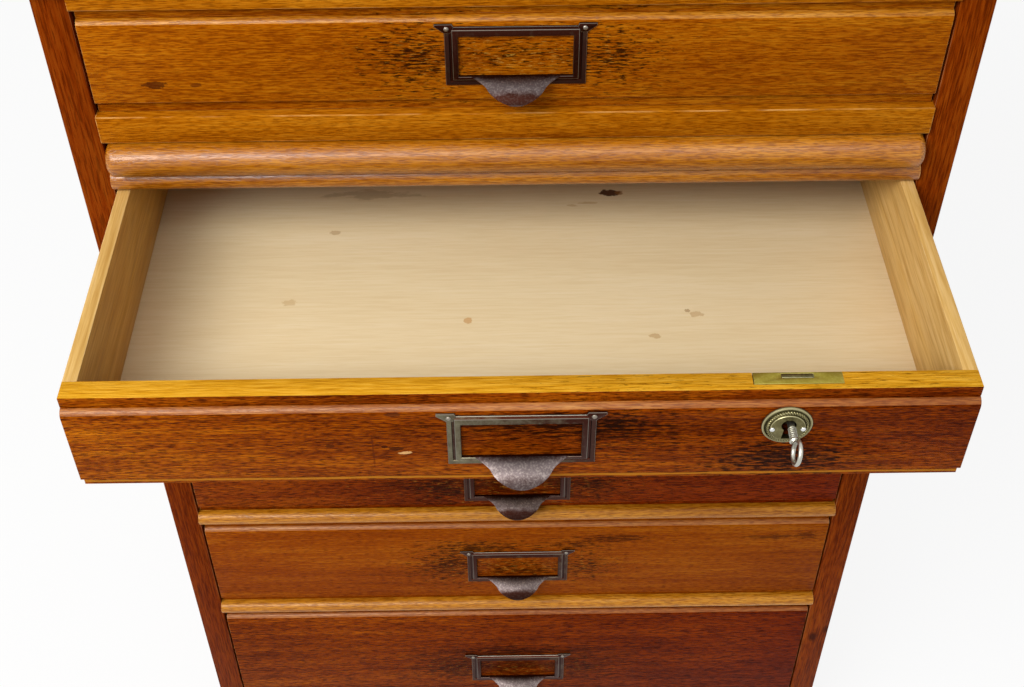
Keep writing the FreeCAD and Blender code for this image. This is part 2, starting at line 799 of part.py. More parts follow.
def add_tails(body, name, height, count, shoulder, tip):
    """A row of dovetails from the shoulder out to the tip."""
    pitch = height / count
    wide = (pitch - S.pin_width) / 2
    reach = shoulder - tip if shoulder.value > tip.value else tip - shoulder
    narrow = wide - reach * S.tail_slope
    middle = pitch / 2
    sketch = new_sketch(body, "YZ_Plane", name)
    outline(sketch, [(shoulder, middle - narrow), (shoulder, middle + narrow),
                     (tip, middle + wide), (tip, middle - wide)])
    tail = pad(body, sketch, S.side_thickness)
    repeat_upwards(body, tail, sketch, count, pitch)


def side_blank(name, face, low, height, count):
    """A drawer side with dovetails at both ends."""
    body = new_body(f"{name}_board")
    sketch = new_sketch(body, "YZ_Plane", f"{name}_elevation")
    shoulder = S.front_thickness
    rear = DRAWER_DEPTH - S.back_board_thickness
    outline(sketch, rectangle(shoulder, rear, ZERO, height))
    pad(body, sketch, S.side_thickness)
    add_tails(body, f"{name}_front_tail", height, count, shoulder, shoulder - S.lap_length)
    add_tails(body, f"{name}_rear_tail", height, count, rear, DRAWER_DEPTH)
    place(body, -DRAWER_HALF, face, low)
    return body


def make_drawer(number, face, count, rise, fittings=None):
    """One drawer: moulded front, dovetailed sides and back, and a bottom in grooves."""
    name = f"drawer_{number}"
    low, high = LEVELS[name]
    height = high - low
    inner = DRAWER_HALF - S.side_thickness
    bottom_low = low + S.bottom_rise
    bottom_top = bottom_low + S.bottom_thickness
    reach = inner + S.groove_depth
    bottom_front = face + S.front_thickness - S.front_groove_depth
    bottom = box(f"{name}_bottom_board", (-reach, reach), (bottom_front, face + DRAWER_DEPTH),
                 (bottom_low, bottom_top))
    node(f"{name}_bottom", bottom)
    left = cut(f"{name}_left", side_blank(name, face, low, height, count), bottom)
    right = mirrored(f"{name}_right", left)
    sides = node(f"{name}_sides", compound(f"{name}_side_pair", [left, right]))
    rear = face + DRAWER_DEPTH
    back = box(f"{name}_back_blank", (-DRAWER_HALF, DRAWER_HALF),
               (rear - S.back_board_thickness, rear), (bottom_top, high - S.back_drop))
    node(f"{name}_back", cut(f"{name}_back_cut", back, sides))
    make_pull(f"{name}_pull", face, (low + high) / 2 + rise)
    tools = [sides, bottom] + (fittings(face, high) if fittings else [])
    blank = front_blank(f"{name}_front", face, low, height)
    node(f"{name}_front", cut(f"{name}_front_cut", blank, *tools))


# ---------------------------------------------------------------- lock and key

def keyhole(name, front, back, axis):
    """A round hole over a slot that widens to its foot, through from front to back."""
    hole = rod(f"{name}_round", S.keyhole_radius, back - front, KEYHOLE_X, front, axis)
    neck, foot = S.keyhole_slot / 2, S.keyhole_foot / 2
    slot = new_body(f"{name}_slot")
    sketch = new_sketch(slot, "XZ_Plane", f"{name}_slot_outline")
    outline(sketch, [(-neck, ZERO), (neck, ZERO), (foot, -S.keyhole_drop),
                     (-foot, -S.keyhole_drop)])
    pad(slot, sketch, back - front)
    place(slot, KEYHOLE_X, back, axis)
    return fuse(name, hole, slot)


def make_escutcheon(face, axis, hole):
    """A turned brass disc with a rim, a ring and a raised middle, held by two nails."""
    body = new_body("escutcheon_disc")
    sketch = new_sketch(body, "YZ_Plane", "escutcheon_section")
    edge, floor, rim = S.escutcheon_radius, -S.escutcheon_thickness, -S.escutcheon_rim_height
    bevel, crest = S.escutcheon_rim / 3, S.escutcheon_ring_width / 4
    ring, boss, crown = S.escutcheon_ring_radius, S.escutcheon_boss_radius, -S.escutcheon_boss_height
    outline(sketch, [(ZERO, ZERO), (ZERO, edge), (floor, edge), (rim, edge - bevel),
                     (rim, edge - bevel * 2), (floor, edge - S.escutcheon_rim),
                     (floor, ring + crest * 2), (rim, ring + crest), (rim, ring - crest),
                     (floor, ring - crest * 2), (floor, boss), (crown, boss - bevel),
                     (crown, ZERO)])
    revolve(body, sketch, "H_Axis")
    place(body, ESCUTCHEON_X, face, axis - S.escutcheon_drop)
    nails = [pin_head(f"escutcheon_nail_{side}", ESCUTCHEON_X + S.nail_spread * sign, face,
                      axis - S.nail_drop, S.escutcheon_boss_height)
             for side, sign in (("left", -1), ("right", 1))]
    node("escutcheon", cut("escutcheon_pierced", body, hole))
    node("escutcheon_nails", compound("escutcheon_nail_pair", nails))


def key_bow():
    """The ring of the key: an eight-sided section turned about the X axis."""
    body = new_body("key_bow")
    sketch = new_sketch(body, "XY_Plane", "key_bow_section")
    wide, ring = S.bow_wire_radius, S.bow_radius
    narrow = wide * math.tan(math.pi / 8)
    outline(sketch, [(narrow, ring - wide), (wide, ring - narrow), (wide, ring + narrow),
                     (narrow, ring + wide), (-narrow, ring + wide), (-wide, ring + narrow),
                     (-wide, ring - narrow), (-narrow, ring - wide)])
    revolve(body, sketch, "H_Axis")
    return body


def make_key(face, back, axis):
    """A turned stem with two collars, a ring bow in the plane of the bit, and the bit."""
    tip = back - S.lock_plate_thickness - S.key_end_gap
    body = new_body("key_stem")
    sketch = new_sketch(body, "YZ_Plane", "key_stem_section")
    stem, collar, width = S.stem_radius, S.collar_radius, S.collar_width
    end = face - S.stem_visible - S.bow_wire_radius
    corners = [(tip - end, ZERO), (tip - end, stem)]
    for number in (2, 1):
        start = width * (2 * number)
        corners += [(start + width, stem), (start + width * 0.75, collar),
                    (start + width * 0.25, collar), (start, stem)]
    corners += [(ZERO, stem), (ZERO, ZERO)]
    outline(sketch, corners)
    revolve(body, sketch, "H_Axis")
    place(body, KEY_X, end, axis)
    bow = key_bow()
    place(bow, KEY_X, end - S.bow_radius, axis)
    half = S.bit_thickness / 2
    bit = box("key_bit", (KEY_X - half, KEY_X + half), (tip - S.bit_width, tip),
              (axis - S.bit_reach, axis))
    node("key", fuse("key_piece", body, bow, bit))


def make_lock(face, high):
    """The lock, let into the front from behind; returns what must be cut from the front."""
    back = face + S.front_thickness
    axis = high - S.key_drop
    plate_front = back - S.lock_plate_thickness
    case_front = plate_front - S.lock_case_depth
    reach = S.selvedge_length / 2
    wide = (LOCK_X - reach, LOCK_X + reach)
    plate = box("lock_back_plate", wide, (plate_front, back), (high - S.lock_plate_height, high))
    selvedge = box("lock_selvedge", wide, (back - S.selvedge_width, back),
                   (high - S.selvedge_thickness, high))
    blank = fuse("lock_plate_blank", plate, selvedge)
    clear = S.bolt_clearance
    half = S.bolt_width / 2
    slot = box("bolt_slot", (LOCK_X - half - clear, LOCK_X + half + clear),
               (plate_front - S.bolt_thickness - clear * 2, plate_front),
               (high - S.selvedge_thickness, high))
    node("lock_plate", cut("lock_plate_slotted", blank, slot))
    case_half = S.lock_case_width / 2
    case_x = (LOCK_X - case_half, LOCK_X + case_half)
    case_z = (high - S.lock_plate_height + S.lock_wall, high - S.selvedge_thickness)
    shell = box("lock_case_blank", case_x, (case_front, plate_front), case_z)
    wall = S.lock_wall
    hollow = box("lock_case_hollow", (case_x[0] + wall, case_x[1] - wall),
                 (case_front + wall, plate_front), (case_z[0] + wall, case_z[1]))
    hole = keyhole("keyhole", face - S.escutcheon_boss_height, case_front + wall, axis)
    node("lock_case", cut("lock_case_shell", shell, hollow, hole))
    low = axis + S.stem_radius + S.bolt_lift_gap
    node("lock_bolt", box("lock_bolt_bar", (LOCK_X - half, LOCK_X + half),
                          (plate_front - S.bolt_thickness - clear, plate_front - clear),
                          (low, high)))
    make_key(face, back, axis)
    make_escutcheon(face, axis, hole)
    return [blank, shell, hole]


# ---------------------------------------------------------------- assembly and output

def make_cabinet():
    """Builds every sub-part in the order in which each needs the others."""
    front_rails = make_front_rails()
    panels, side_rails = make_side_frames()
    back, rear_rails = make_back()
    make_posts(front_rails, panels, side_rails, back, rear_rails)
    make_top()
    make_kick_board()
    make_runners()
    make_stops()
    make_slide()
    make_drawer(1, CLOSED_FACE, SMALL_TAILS, S.pull_rise_high)
    make_drawer(2, OPEN_FACE, SMALL_TAILS, S.pull_rise_high, make_lock)
    for number in (3, 4, 5):
        make_drawer(number, CLOSED_FACE, SMALL_TAILS, S.pull_rise_small)
    make_drawer(6, CLOSED_FACE, MIDDLE_TAILS, S.pull_rise_large)
    make_drawer(7, CLOSED_FACE, DEEP_TAILS, S.pull_rise_large)


def check_document():
    """Stops on any failed object or bad shape."""
    failed = [obj.Name for obj in doc.Objects if {"Invalid", "Error"} & set(obj.State)]
    bad = [obj.Label for obj in nodes if obj.Shape.isNull() or not obj.Shape.isValid()
           or not obj.Shape.Solids]
    if failed or bad:
        raise RuntimeError(f"failed objects {failed}, bad shapes {bad}")


def write_nodes():
    """One STEP file per sub-part, named for it."""
    os.makedirs("parts", exist_ok=True)
    for obj in nodes:
        obj.Shape.exportStep(os.path.join("parts", f"{obj.Label}.step"))


make_cabinet()
doc.recompute()
check_document()
write_nodes()
print(f"{len(nodes)} sub-parts written")
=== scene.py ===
"""Haberdashery cabinet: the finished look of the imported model, in metres and in its frame.

The boards are copies of the model's own boards with eased arrises and solid-grain finishes. The
pulls, escutcheon, nails and key are modelled finely and stand for the model's plainer ones."""

import json
import math
import random

import bmesh
import bpy
from bpy.props import FloatProperty, FloatVectorProperty, IntProperty, PointerProperty
from mathutils import Matrix, Vector


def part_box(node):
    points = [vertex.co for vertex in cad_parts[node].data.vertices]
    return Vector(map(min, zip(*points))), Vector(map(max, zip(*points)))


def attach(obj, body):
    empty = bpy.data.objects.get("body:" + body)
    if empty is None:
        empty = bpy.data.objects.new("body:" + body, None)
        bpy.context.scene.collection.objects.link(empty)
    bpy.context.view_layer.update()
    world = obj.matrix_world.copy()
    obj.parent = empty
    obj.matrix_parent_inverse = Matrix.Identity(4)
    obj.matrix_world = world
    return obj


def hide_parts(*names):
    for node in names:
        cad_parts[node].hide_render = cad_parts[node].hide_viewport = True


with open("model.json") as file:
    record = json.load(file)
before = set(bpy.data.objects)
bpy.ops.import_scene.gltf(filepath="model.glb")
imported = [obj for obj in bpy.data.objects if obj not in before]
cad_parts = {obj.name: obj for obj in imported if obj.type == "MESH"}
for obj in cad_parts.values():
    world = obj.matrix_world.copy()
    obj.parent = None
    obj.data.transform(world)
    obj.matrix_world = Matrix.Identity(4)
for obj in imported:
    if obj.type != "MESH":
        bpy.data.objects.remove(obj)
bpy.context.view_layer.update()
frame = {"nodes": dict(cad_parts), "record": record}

bl_info = {
    "name": "Haberdashery Cabinet",
    "version": (1, 0, 0),
    "blender": (4, 5, 0),
    "location": "View3D > Sidebar > Cabinet",
    "description": "Dresses an oak haberdashery cabinet: boards, pulls, lock, key and stage",
    "category": "Object",
}

NODES = frame["nodes"]
MM = 0.001
WELD = 0.002 * MM
FLAT_ANGLE = math.radians(1)
ARRIS_ANGLE = math.radians(30)
QUARTER_TURN = math.radians(90)
FULL_TURN = math.radians(360)
DRAWERS = range(1, 8)
LOCKING_DRAWER = 2


# ---------------------------------------------------------------- colours and node trees

def linear(hex_colour):
    """An sRGB hex colour as the linear RGBA that Blender's sockets hold."""
    parts = [int(hex_colour[i:i + 2], 16) / 255 for i in (1, 3, 5)]
    return tuple(p / 12.92 if p <= 0.04045 else ((p + 0.055) / 1.055) ** 2.4 for p in parts) + (1,)


def add(tree, kind, inputs=None, stops=None, **settings):
    """Adds a node with its settings. An input is a value, the socket that feeds it, or the node
    whose first output in use feeds it; stops are a ramp's places and colours."""
    node = tree.nodes.new(kind)
    for name, value in settings.items():
        setattr(node, name, value)
    for key, value in (inputs or {}).items():
        if isinstance(value, bpy.types.Node):
            value = next(output for output in value.outputs if output.enabled)
        if isinstance(value, bpy.types.NodeSocket):
            tree.links.new(value, node.inputs[key])
        else:
            node.inputs[key].default_value = value
    if stops:
        elements = node.color_ramp.elements
        while len(elements) < len(stops):
            elements.new(0.5)
        for element, (position, colour) in zip(elements, stops):
            element.position = position
            element.color = linear(colour)
    return node


def emptied(owner):
    """The cleared node tree of a new material or world."""
    owner.use_nodes = True
    owner.node_tree.nodes.clear()
    return owner.node_tree


# ---------------------------------------------------------------- wood

# Orange shellac warms what it reflects head-on, less where it is rubbed through
SHELLAC_TINT = (1.0, 0.62, 0.25, 1.0)
RUBBED_TINT = (1.0, 0.88, 0.72, 1.0)
POLISHED_TINT = (1.0, 0.98, 0.96, 1.0)
# What an old, red coat of shellac and a rubbed one let through, and the darker tone that
# paints shade on pine
SHELLAC_STAIN = (0.50, 0.20, 0.30, 1)
RUBBED_STAIN = (0.80, 0.66, 0.50, 1)
PINE_PAINTED_SHADE = (0.95, 0.72, 0.28, 1)

# The wood's broader features: mm along and across the grain, and their share in its tone
BAND_SIZE, BAND_SHARE = (130, 7), 0.45
DRIFT_SIZE, DRIFT_SHARE = (200, 40), 0.5
BOARD_SHARE = 0.04
TONE_SPAN = 0.26
# Growth rings this many mm apart, whose pith wanders by this much
RING_GAP = 3.4
WANDER_SIZE, WANDER_REACH = (150, 60), 18 * MM
# One pin knot in each cell, and how large the rubbed patches on arrises are
KNOT_CELL = (60, 34)
RUBBED_PATCH = (30, 6)
# A mark's edge goes from nothing to full over this much of its texture
MARK_EDGE = 0.09


def stretched(tree, vector, along, across):
    """A pattern vector whose features are so many mm long and wide along the grain."""
    scale = (1000 / along, 1000 / across, 1000 / across)
    return add(tree, "ShaderNodeVectorMath", {0: vector, 1: scale}, operation="MULTIPLY")


def wood(name, colours, pore, fibre=(20, 1.0), dash=(7, 0.75), figure=0.0, pores=0.5, contrast=0.8,
         knots=0.0, flecks=0.25, gloss=0.34, specular=0.015, tint=SHELLAC_TINT, stain_and_shade_colour=SHELLAC_STAIN,
         bump=0.12 * MM, wear=None, marks=(), bare=False):
    """Solid timber read from each board's own grain vector, with open pores and pin knots. Over
    it come its stain with painted shade, a front's bare upper edge, its marks and its paler
    arrises, partly rubbed and partly a painted highlight."""
    material = bpy.data.materials.new(name)
    tree = emptied(material)
    grain = add(tree, "ShaderNodeAttribute", attribute_name="grain").outputs["Vector"]
    streak = add(tree, "ShaderNodeTexNoise", {
        "Vector": stretched(tree, grain, *fibre), "Scale": 1.0, "Detail": 3.0, "Roughness": 0.62})
    level = toned(tree, grain, streak, figure, contrast)
    colour = add(tree, "ShaderNodeValToRGB", {"Fac": level}, stops=[*zip((0, 0.5, 1), colours)])

    # Pores are drawn coarser than life so that they show; between them the fibres catch light
    dashes = add(tree, "ShaderNodeTexNoise", {
        "Vector": stretched(tree, grain, *dash), "Scale": 1.0, "Detail": 2.0})
    pit = add(tree, "ShaderNodeMapRange", {
        "Value": dashes, "From Min": 0.51, "From Max": 0.60, "To Max": pores})
    fleck = add(tree, "ShaderNodeMapRange", {
        "Value": dashes, "From Min": 0.46, "From Max": 0.38, "To Max": flecks})
    layers = [(pit, pore), (fleck, colours[2])]
    if knots:
        cell = add(tree, "ShaderNodeTexVoronoi", {
            "Vector": stretched(tree, grain, *KNOT_CELL), "Scale": 1.0})
        knot = add(tree, "ShaderNodeMapRange", {
            "Value": cell, "From Min": 0.16, "From Max": 0.07, "To Max": knots})
        layers.append((knot, pore))
    for share, shade in layers:
        colour = add(tree, "ShaderNodeMix", {"Factor": share, "A": colour, "B": linear(shade)},
                     data_type="RGBA")

    colour = stained(tree, colour, stain_and_shade_colour)
    if bare:
        colour = bare_top(tree, colour, streak)
    if marks:
        colour = marked(tree, colour, marks)
    if wear:
        colour = worn_edges(tree, grain, colour, wear)
    roughness = add(tree, "ShaderNodeMapRange", {
        "Value": streak, "From Min": 0.3, "From Max": 0.7, "To Min": gloss - 0.06,
        "To Max": gloss + 0.10})
    relief = add(tree, "ShaderNodeMath", {0: pit, 1: -1.2, 2: streak}, operation="MULTIPLY_ADD")
    normal = add(tree, "ShaderNodeBump", {"Height": relief, "Strength": 0.8, "Distance": bump})
    surface = add(tree, "ShaderNodeBsdfPrincipled", {
        "Base Color": colour, "Roughness": roughness, "Normal": normal,
        "Specular IOR Level": specular, "IOR": 1.5, "Specular Tint": tint})
    add(tree, "ShaderNodeOutputMaterial", {"Surface": surface})
    return material


def toned(tree, grain, streak, figure, contrast):
    """How light the wood is, from 0 to 1: its fibre streaks, broader bands, a slow drift, the
    board's own tone, and growth rings where they make a figure."""
    band = add(tree, "ShaderNodeTexNoise", {
        "Vector": stretched(tree, grain, *BAND_SIZE), "Scale": 1.0, "Detail": 2.0})
    drift = add(tree, "ShaderNodeTexNoise", {
        "Vector": stretched(tree, grain, *DRIFT_SIZE), "Scale": 1.0, "Detail": 1.0})
    board = add(tree, "ShaderNodeAttribute", attribute_name="tone").outputs["Fac"]
    layers = [(band, BAND_SHARE, 0.5), (drift, DRIFT_SHARE, 0.5), (board, BOARD_SHARE, 0.0)]
    if figure:
        layers.append((growth_rings(tree, grain), figure, 0.5))
    total, middle = streak, 0.5
    for layer, share, mean in layers:
        total = add(tree, "ShaderNodeMath", {0: layer, 1: share, 2: total},
                    operation="MULTIPLY_ADD")
        middle += mean * share
    span = TONE_SPAN / contrast
    return add(tree, "ShaderNodeMapRange", {
        "Value": total, "From Min": middle - span, "From Max": middle + span})


def growth_rings(tree, grain):
    """Rings by their distance from a far pith, bent by a slow wander and read from a noise."""
    wander = add(tree, "ShaderNodeTexNoise", {
        "Vector": stretched(tree, grain, *WANDER_SIZE), "Scale": 1.0, "Detail": 1.0})
    across = add(tree, "ShaderNodeVectorMath", {0: grain, 1: (0, 1, 1)}, operation="MULTIPLY")
    radius = add(tree, "ShaderNodeVectorMath", {0: across}, operation="LENGTH")
    bent = add(tree, "ShaderNodeMath", {0: wander, 1: WANDER_REACH, 2: radius},
               operation="MULTIPLY_ADD")
    place = add(tree, "ShaderNodeMath", {0: bent, 1: 1000 / RING_GAP}, operation="MULTIPLY")
    return add(tree, "ShaderNodeTexNoise", {"W": place, "Scale": 1.0, "Detail": 2.0},
               noise_dimensions="1D")


def stained(tree, colour, stain_and_shade_colour):
    """Old polish over the wood, and painted shade: the stain-and-shade mark says how much of it a
    board carries. On the fronts it darkens the right ends and lower drawers partly as painted
    shade; on the drawer sides' left inner faces it is only painted shade.
    """
    stain = add(tree, "ShaderNodeAttribute", attribute_name="stain").outputs["Fac"]
    return add(tree, "ShaderNodeMix", {"Factor": stain, "A": colour, "B": stain_and_shade_colour},
               data_type="RGBA", blend_type="MULTIPLY")


def bare_top(tree, colour, streak):
    """The drawer front's upper edge was never stained: honey-coloured oak."""
    bare = add(tree, "ShaderNodeAttribute", attribute_name="bare").outputs["Fac"]
    honey = add(tree, "ShaderNodeValToRGB", {"Fac": streak}, stops=[
        (0.34, "#b07410"), (0.5, "#cb901c"), (0.66, "#dca434")])
    return add(tree, "ShaderNodeMix", {"Factor": bare, "A": colour, "B": honey},
               data_type="RGBA")


def worn_edges(tree, grain, colour, worn_colour):
    """Arrises drawn paler, broken up along their length: partly rubbed back by use, partly a
    painted highlight along the edge.
    """
    worn = add(tree, "ShaderNodeAttribute", attribute_name="worn").outputs["Fac"]
    patchy = add(tree, "ShaderNodeTexNoise", {
        "Vector": stretched(tree, grain, *RUBBED_PATCH), "Scale": 1.0, "Detail": 4.0})
    rubbed = add(tree, "ShaderNodeMapRange", {
        "Value": patchy, "From Min": 0.42, "From Max": 0.62, "To Max": 0.8})
    share = add(tree, "ShaderNodeMath", {0: rubbed, 1: worn}, operation="MULTIPLY")
    return add(tree, "ShaderNodeMix", {"Factor": share, "A": colour, "B": linear(worn_colour)},
               data_type="RGBA")


def marked(tree, colour, marks):
    """Stains and dents at places measured from the pull or the drawer. A mark is its middle and
    half size in mm, its texture's length and width in mm, level, falloff, strength and tint: it
    shows where the texture is above the level, which rises by the falloff out to its edge."""
    place = add(tree, "ShaderNodeAttribute", attribute_name="place").outputs["Vector"]
    soil = add(tree, "ShaderNodeAttribute", attribute_name="soil").outputs["Fac"]
    for middle, size, texture, level, falloff, strength, tint in marks:
        moved = add(tree, "ShaderNodeVectorMath", {
            0: place, 1: (middle[0] * MM, 0, middle[1] * MM)}, operation="SUBTRACT")
        scaled = add(tree, "ShaderNodeVectorMath", {
            0: moved, 1: (1 / (size[0] * MM), 0, 1 / (size[1] * MM))}, operation="MULTIPLY")
        reach = add(tree, "ShaderNodeVectorMath", {0: scaled}, operation="LENGTH")
        ragged = add(tree, "ShaderNodeTexNoise", {
            "Vector": stretched(tree, place, *texture), "Scale": 1.0, "Detail": 4.0,
            "Roughness": 0.65})
        edge = add(tree, "ShaderNodeMath", {0: reach, 1: -falloff, 2: ragged},
                   operation="MULTIPLY_ADD")
        shown = add(tree, "ShaderNodeMapRange", {
            "Value": edge, "From Min": level, "From Max": level + MARK_EDGE, "To Max": strength})
        share = add(tree, "ShaderNodeMath", {0: shown, 1: soil}, operation="MULTIPLY")
        colour = add(tree, "ShaderNodeMix", {"Factor": share, "A": colour, "B": linear(tint)},
                     data_type="RGBA")
    return colour


# Marks on every drawer's face, measured from the middle of its pull
HAND_MARKS = [
    # Black wax where hands missed the cup, in dashes along the grain
    ((-64, -3), (30, 22), (8, 1.3), 0.43, 0.085, 0.9, "#1b0702"),
    ((61, -2), (28, 22), (8, 1.3), 0.44, 0.085, 0.9, "#1b0702"),
    ((0, 2), (34, 11), (10, 1.3), 0.45, 0.09, 0.85, "#150500"),
    # Flecks worn through it down to golden wood
    ((0, -3), (76, 22), (7, 1.0), 0.545, 0.05, 0.7, "#b88432"),
]
UPPER_MARKS = [
    ((-234, -21), (8, 3.0), (6, 3.0), 0.02, 0.5, 0.75, "#3c1205"),
    ((-207, -21), (4, 2.0), (6, 3.0), 0.02, 0.5, 0.6, "#4c1c08"),
]
# Dark smudges over and beside a pull
SMUDGES = [
    ((-34, 27), (26, 6), (12, 1.8), 0.38, 0.08, 0.9, "#1c0500"),
    ((-58, 8), (14, 10), (9, 1.8), 0.41, 0.08, 0.85, "#210700"),
    ((50, 29), (20, 5), (10, 1.8), 0.41, 0.08, 0.8, "#210700"),
    ((10, -8), (26, 4), (12, 1.6), 0.40, 0.08, 0.85, "#1c0500"),
    ((87, 38), (20, 3), (14, 1.8), 0.34, 0.10, 0.8, "#240800"),
    ((225, 37), (18, 2.4), (14, 1.8), 0.30, 0.14, 0.7, "#3a1000"),
    ((258, 39), (8, 4), (9, 2.0), 0.30, 0.14, 0.7, "#3a1000"),
]
# Where hands missed the pull for a century, on the darker drawers; the broad first patch is
# partly dirt and partly painted shade
DARK_MARKS = [
    ((0, 8), (120, 34), (40, 2.2), 0.33, 0.20, 0.6, "#2a0b01"),
    ((8, 25), (44, 6), (14, 1.6), 0.40, 0.08, 0.9, "#160400"),
]
LOCK_MARKS = [
    ((10, 11), (36, 5), (16, 1.7), 0.39, 0.08, 0.9, "#130300"),
    ((20, 3), (26, 8), (13, 1.5), 0.45, 0.06, 0.8, "#1b0500"),
    ((56, 11), (16, 9), (10, 1.7), 0.39, 0.09, 0.92, "#120300"),
    ((68, 3), (32, 16), (11, 1.6), 0.46, 0.06, 0.8, "#1a0500"),
    ((168, -22), (30, 14), (11, 1.7), 0.39, 0.09, 0.92, "#120300"),
    ((148, -22), (28, 10), (10, 1.5), 0.43, 0.08, 0.88, "#160400"),
    ((200, 0), (60, 30), (10, 1.4), 0.515, 0.03, 0.6, "#2c0a00"),
    ((-234, -14), (30, 12), (12, 1.6), 0.50, 0.05, 0.5, "#3a1200"),
    # The lower edge's rubbed line
    ((0, -41.4), (1000, 1.1), (30, 1.4), 0.02, 0.5, 0.8, "#b6741c"),
    # A bright dent with its bruise, two nicks, a scratch
    ((-77, -9), (6, 2.4), (5, 2.5), 0.05, 0.5, 0.8, "#341002"),
    ((-71, -13), (4.6, 1.6), (5, 2.5), 0.05, 0.5, 0.95, "#c89a62"),
    ((-84, -7), (2.5, 1.6), (5, 2.5), 0.05, 0.5, 0.8, "#2c0c02"),
    ((-117, -6), (3.2, 2.0), (5, 2.5), 0.05, 0.5, 0.75, "#3a1404"),
    ((-77, 22), (6, 2.0), (5, 2.5), 0.05, 0.5, 0.7, "#4a2210"),
    ((-91, -11), (0.7, 18), (5, 2.5), 0.10, 0.4, 0.5, "#4a1a04"),
]
# Marks on the locking drawer's bottom, measured from its front edge's middle
BIRCH_MARKS = [
    ((73, -15.4), (8.5, 4.0), (5, 2.5), 0.00, 0.5, 0.95, "#431d08"),
    ((80, -15.4), (3.4, 3.0), (5, 2.5), 0.02, 0.5, 0.7, "#8a5a2c"),
    ((55, -27), (9, 1.6), (9, 2.5), 0.05, 0.5, 0.5, "#b08752"),
    ((43, -30), (5, 1.4), (9, 2.5), 0.05, 0.5, 0.45, "#b08752"),
    ((-134, -58.6), (4.5, 3.0), (4, 4), 0.02, 0.5, 0.55, "#a58256"),
    ((-35, -154.5), (3.6, 3.2), (4, 4), 0.02, 0.5, 0.6, "#b57f3a"),
    ((94, -172), (5.5, 2.6), (4, 4), 0.02, 0.5, 0.55, "#a9834f"),
    ((125, -151), (5.0, 3.4), (4, 4), 0.02, 0.5, 0.5, "#ab8654"),
    ((119, -147), (2.4, 2.0), (4, 4), 0.02, 0.5, 0.6, "#8e6a3c"),
    ((-161, -134), (5.5, 3.6), (4, 4), 0.02, 0.5, 0.45, "#b3915f"),
    ((-111, -14), (34, 6), (20, 6), 0.20, 0.3, 0.5, "#a08a68"),
]


def make_woods():
    """Every timber finish, by the name of the boards that carry it."""
    front = dict(pore="#5a2000", wear="#c08a52", fibre=(20, 0.85), dash=(6, 0.65), bare=True)
    amber = ("#6c2c00", "#9c5102", "#bd7a14")
    dark = dict(front, pore="#330c00", contrast=0.9, pores=0.7)
    red_brown = ("#4c1600", "#863a01", "#b8690a")
    rail = dict(pore="#5e2800", wear="#c8914e")
    pine = dict(fibre=(60, 2.6), dash=(30, 1.4), specular=0.2, tint=RUBBED_TINT, stain_and_shade_colour=PINE_PAINTED_SHADE)
    return {
        # Sawn English oak under old orange shellac: ambers with near-black pores
        "front": wood("shellacked_oak_front", amber, marks=HAND_MARKS + SMUDGES, **front),
        "upper_front": wood("shellacked_oak_upper_front", amber, marks=HAND_MARKS + UPPER_MARKS,
                            **front),
        # The same under more and redder coats: streakier red-browns, their pores full of wax; on
        # the lower drawers this darker finish is partly painted shade
        "lock_front": wood("shellacked_oak_locking_front", red_brown, marks=LOCK_MARKS, **dark),
        "dark_front": wood("shellacked_oak_dark_front", red_brown, marks=HAND_MARKS + DARK_MARKS,
                           **dark),
        # The fronts' mouldings, paler and pinkish: partly rubbed bright by cloths and sleeves,
        # partly a painted highlight
        "moulding": wood("rubbed_oak_moulding", ("#7c3c10", "#9c5a24", "#bc8446"), "#5c260c",
                         wear="#cfa078", specular=0.42, tint=RUBBED_TINT, stain_and_shade_colour=RUBBED_STAIN),
        # The same oak on rails and the slide, paler and glossy because hands and cloth polished it
        "rail": wood("rubbed_oak_rail", ("#7c3c00", "#a86404", "#c4842a"), specular=0.55,
                     tint=POLISHED_TINT, gloss=0.25, **rail),
        # Beads drawn golden, lighter than the fronts: partly the shellac's colour, partly painted
        # light on their lit upper faces; with a satin shine
        "bead": wood("golden_oak_bead", ("#844404", "#b06e0c", "#cc9034"), specular=0.4,
                     tint=RUBBED_TINT, gloss=0.30, **rail),
        # Flat rails that no hand reaches: the same amber as the fronts, with little shine
        "flat_rail": wood("shellacked_oak_rail", ("#743600", "#9f5803", "#bb7716"), **rail),
        # Posts stained to match mahogany: red-brown with fine long streaks and pin knots
        "post": wood("stained_oak_post", ("#4c1400", "#752d02", "#8f480d"), "#280600",
                     fibre=(44, 1.6), dash=(14, 1.0), figure=0.2, knots=0.8, wear="#9a5f38",
                     contrast=0.6, pores=0.4),
        # Ends, top and kick board, the same stain but less handled
        "carcass": wood("stained_oak_carcass", ("#5a2200", "#84400a", "#a8641a"), "#3a1400",
                        fibre=(30, 1.8), dash=(12, 1.1), figure=0.5, wear="#a8733c", gloss=0.36,
                        specular=0.2),
        # Bare Scots pine of the drawer sides, yellowed by a century of air
        "pine": wood("yellowed_pine", ("#b48842", "#cba25c", "#d9b67a"), "#a67834", figure=0.4,
                     pores=0.25, flecks=0.2, gloss=0.5, bump=0.06 * MM, wear="#dcc08a", **pine),
        # Cheap pine at the back and inside, darker with dust
        "backing": wood("dusty_pine", ("#966238", "#b17b49", "#c3925f"), "#6d4424", figure=0.6,
                        pores=0.3, gloss=0.6, bump=0.08 * MM, wear="#c4a478",
                        **dict(pine, fibre=(60, 3.0))),
        # Pale birch sheet: almost no figure, faint lines across the drawer
        "birch": wood("pale_birch", ("#cdb48a", "#d7c299", "#deccaa"), "#c6ab7e", pores=0.16,
                      flecks=0.10, contrast=0.42, gloss=0.5, bump=0.03 * MM, marks=BIRCH_MARKS,
                      **dict(pine, fibre=(60, 2.4), dash=(22, 1.4))),
    }


# ---------------------------------------------------------------- metal

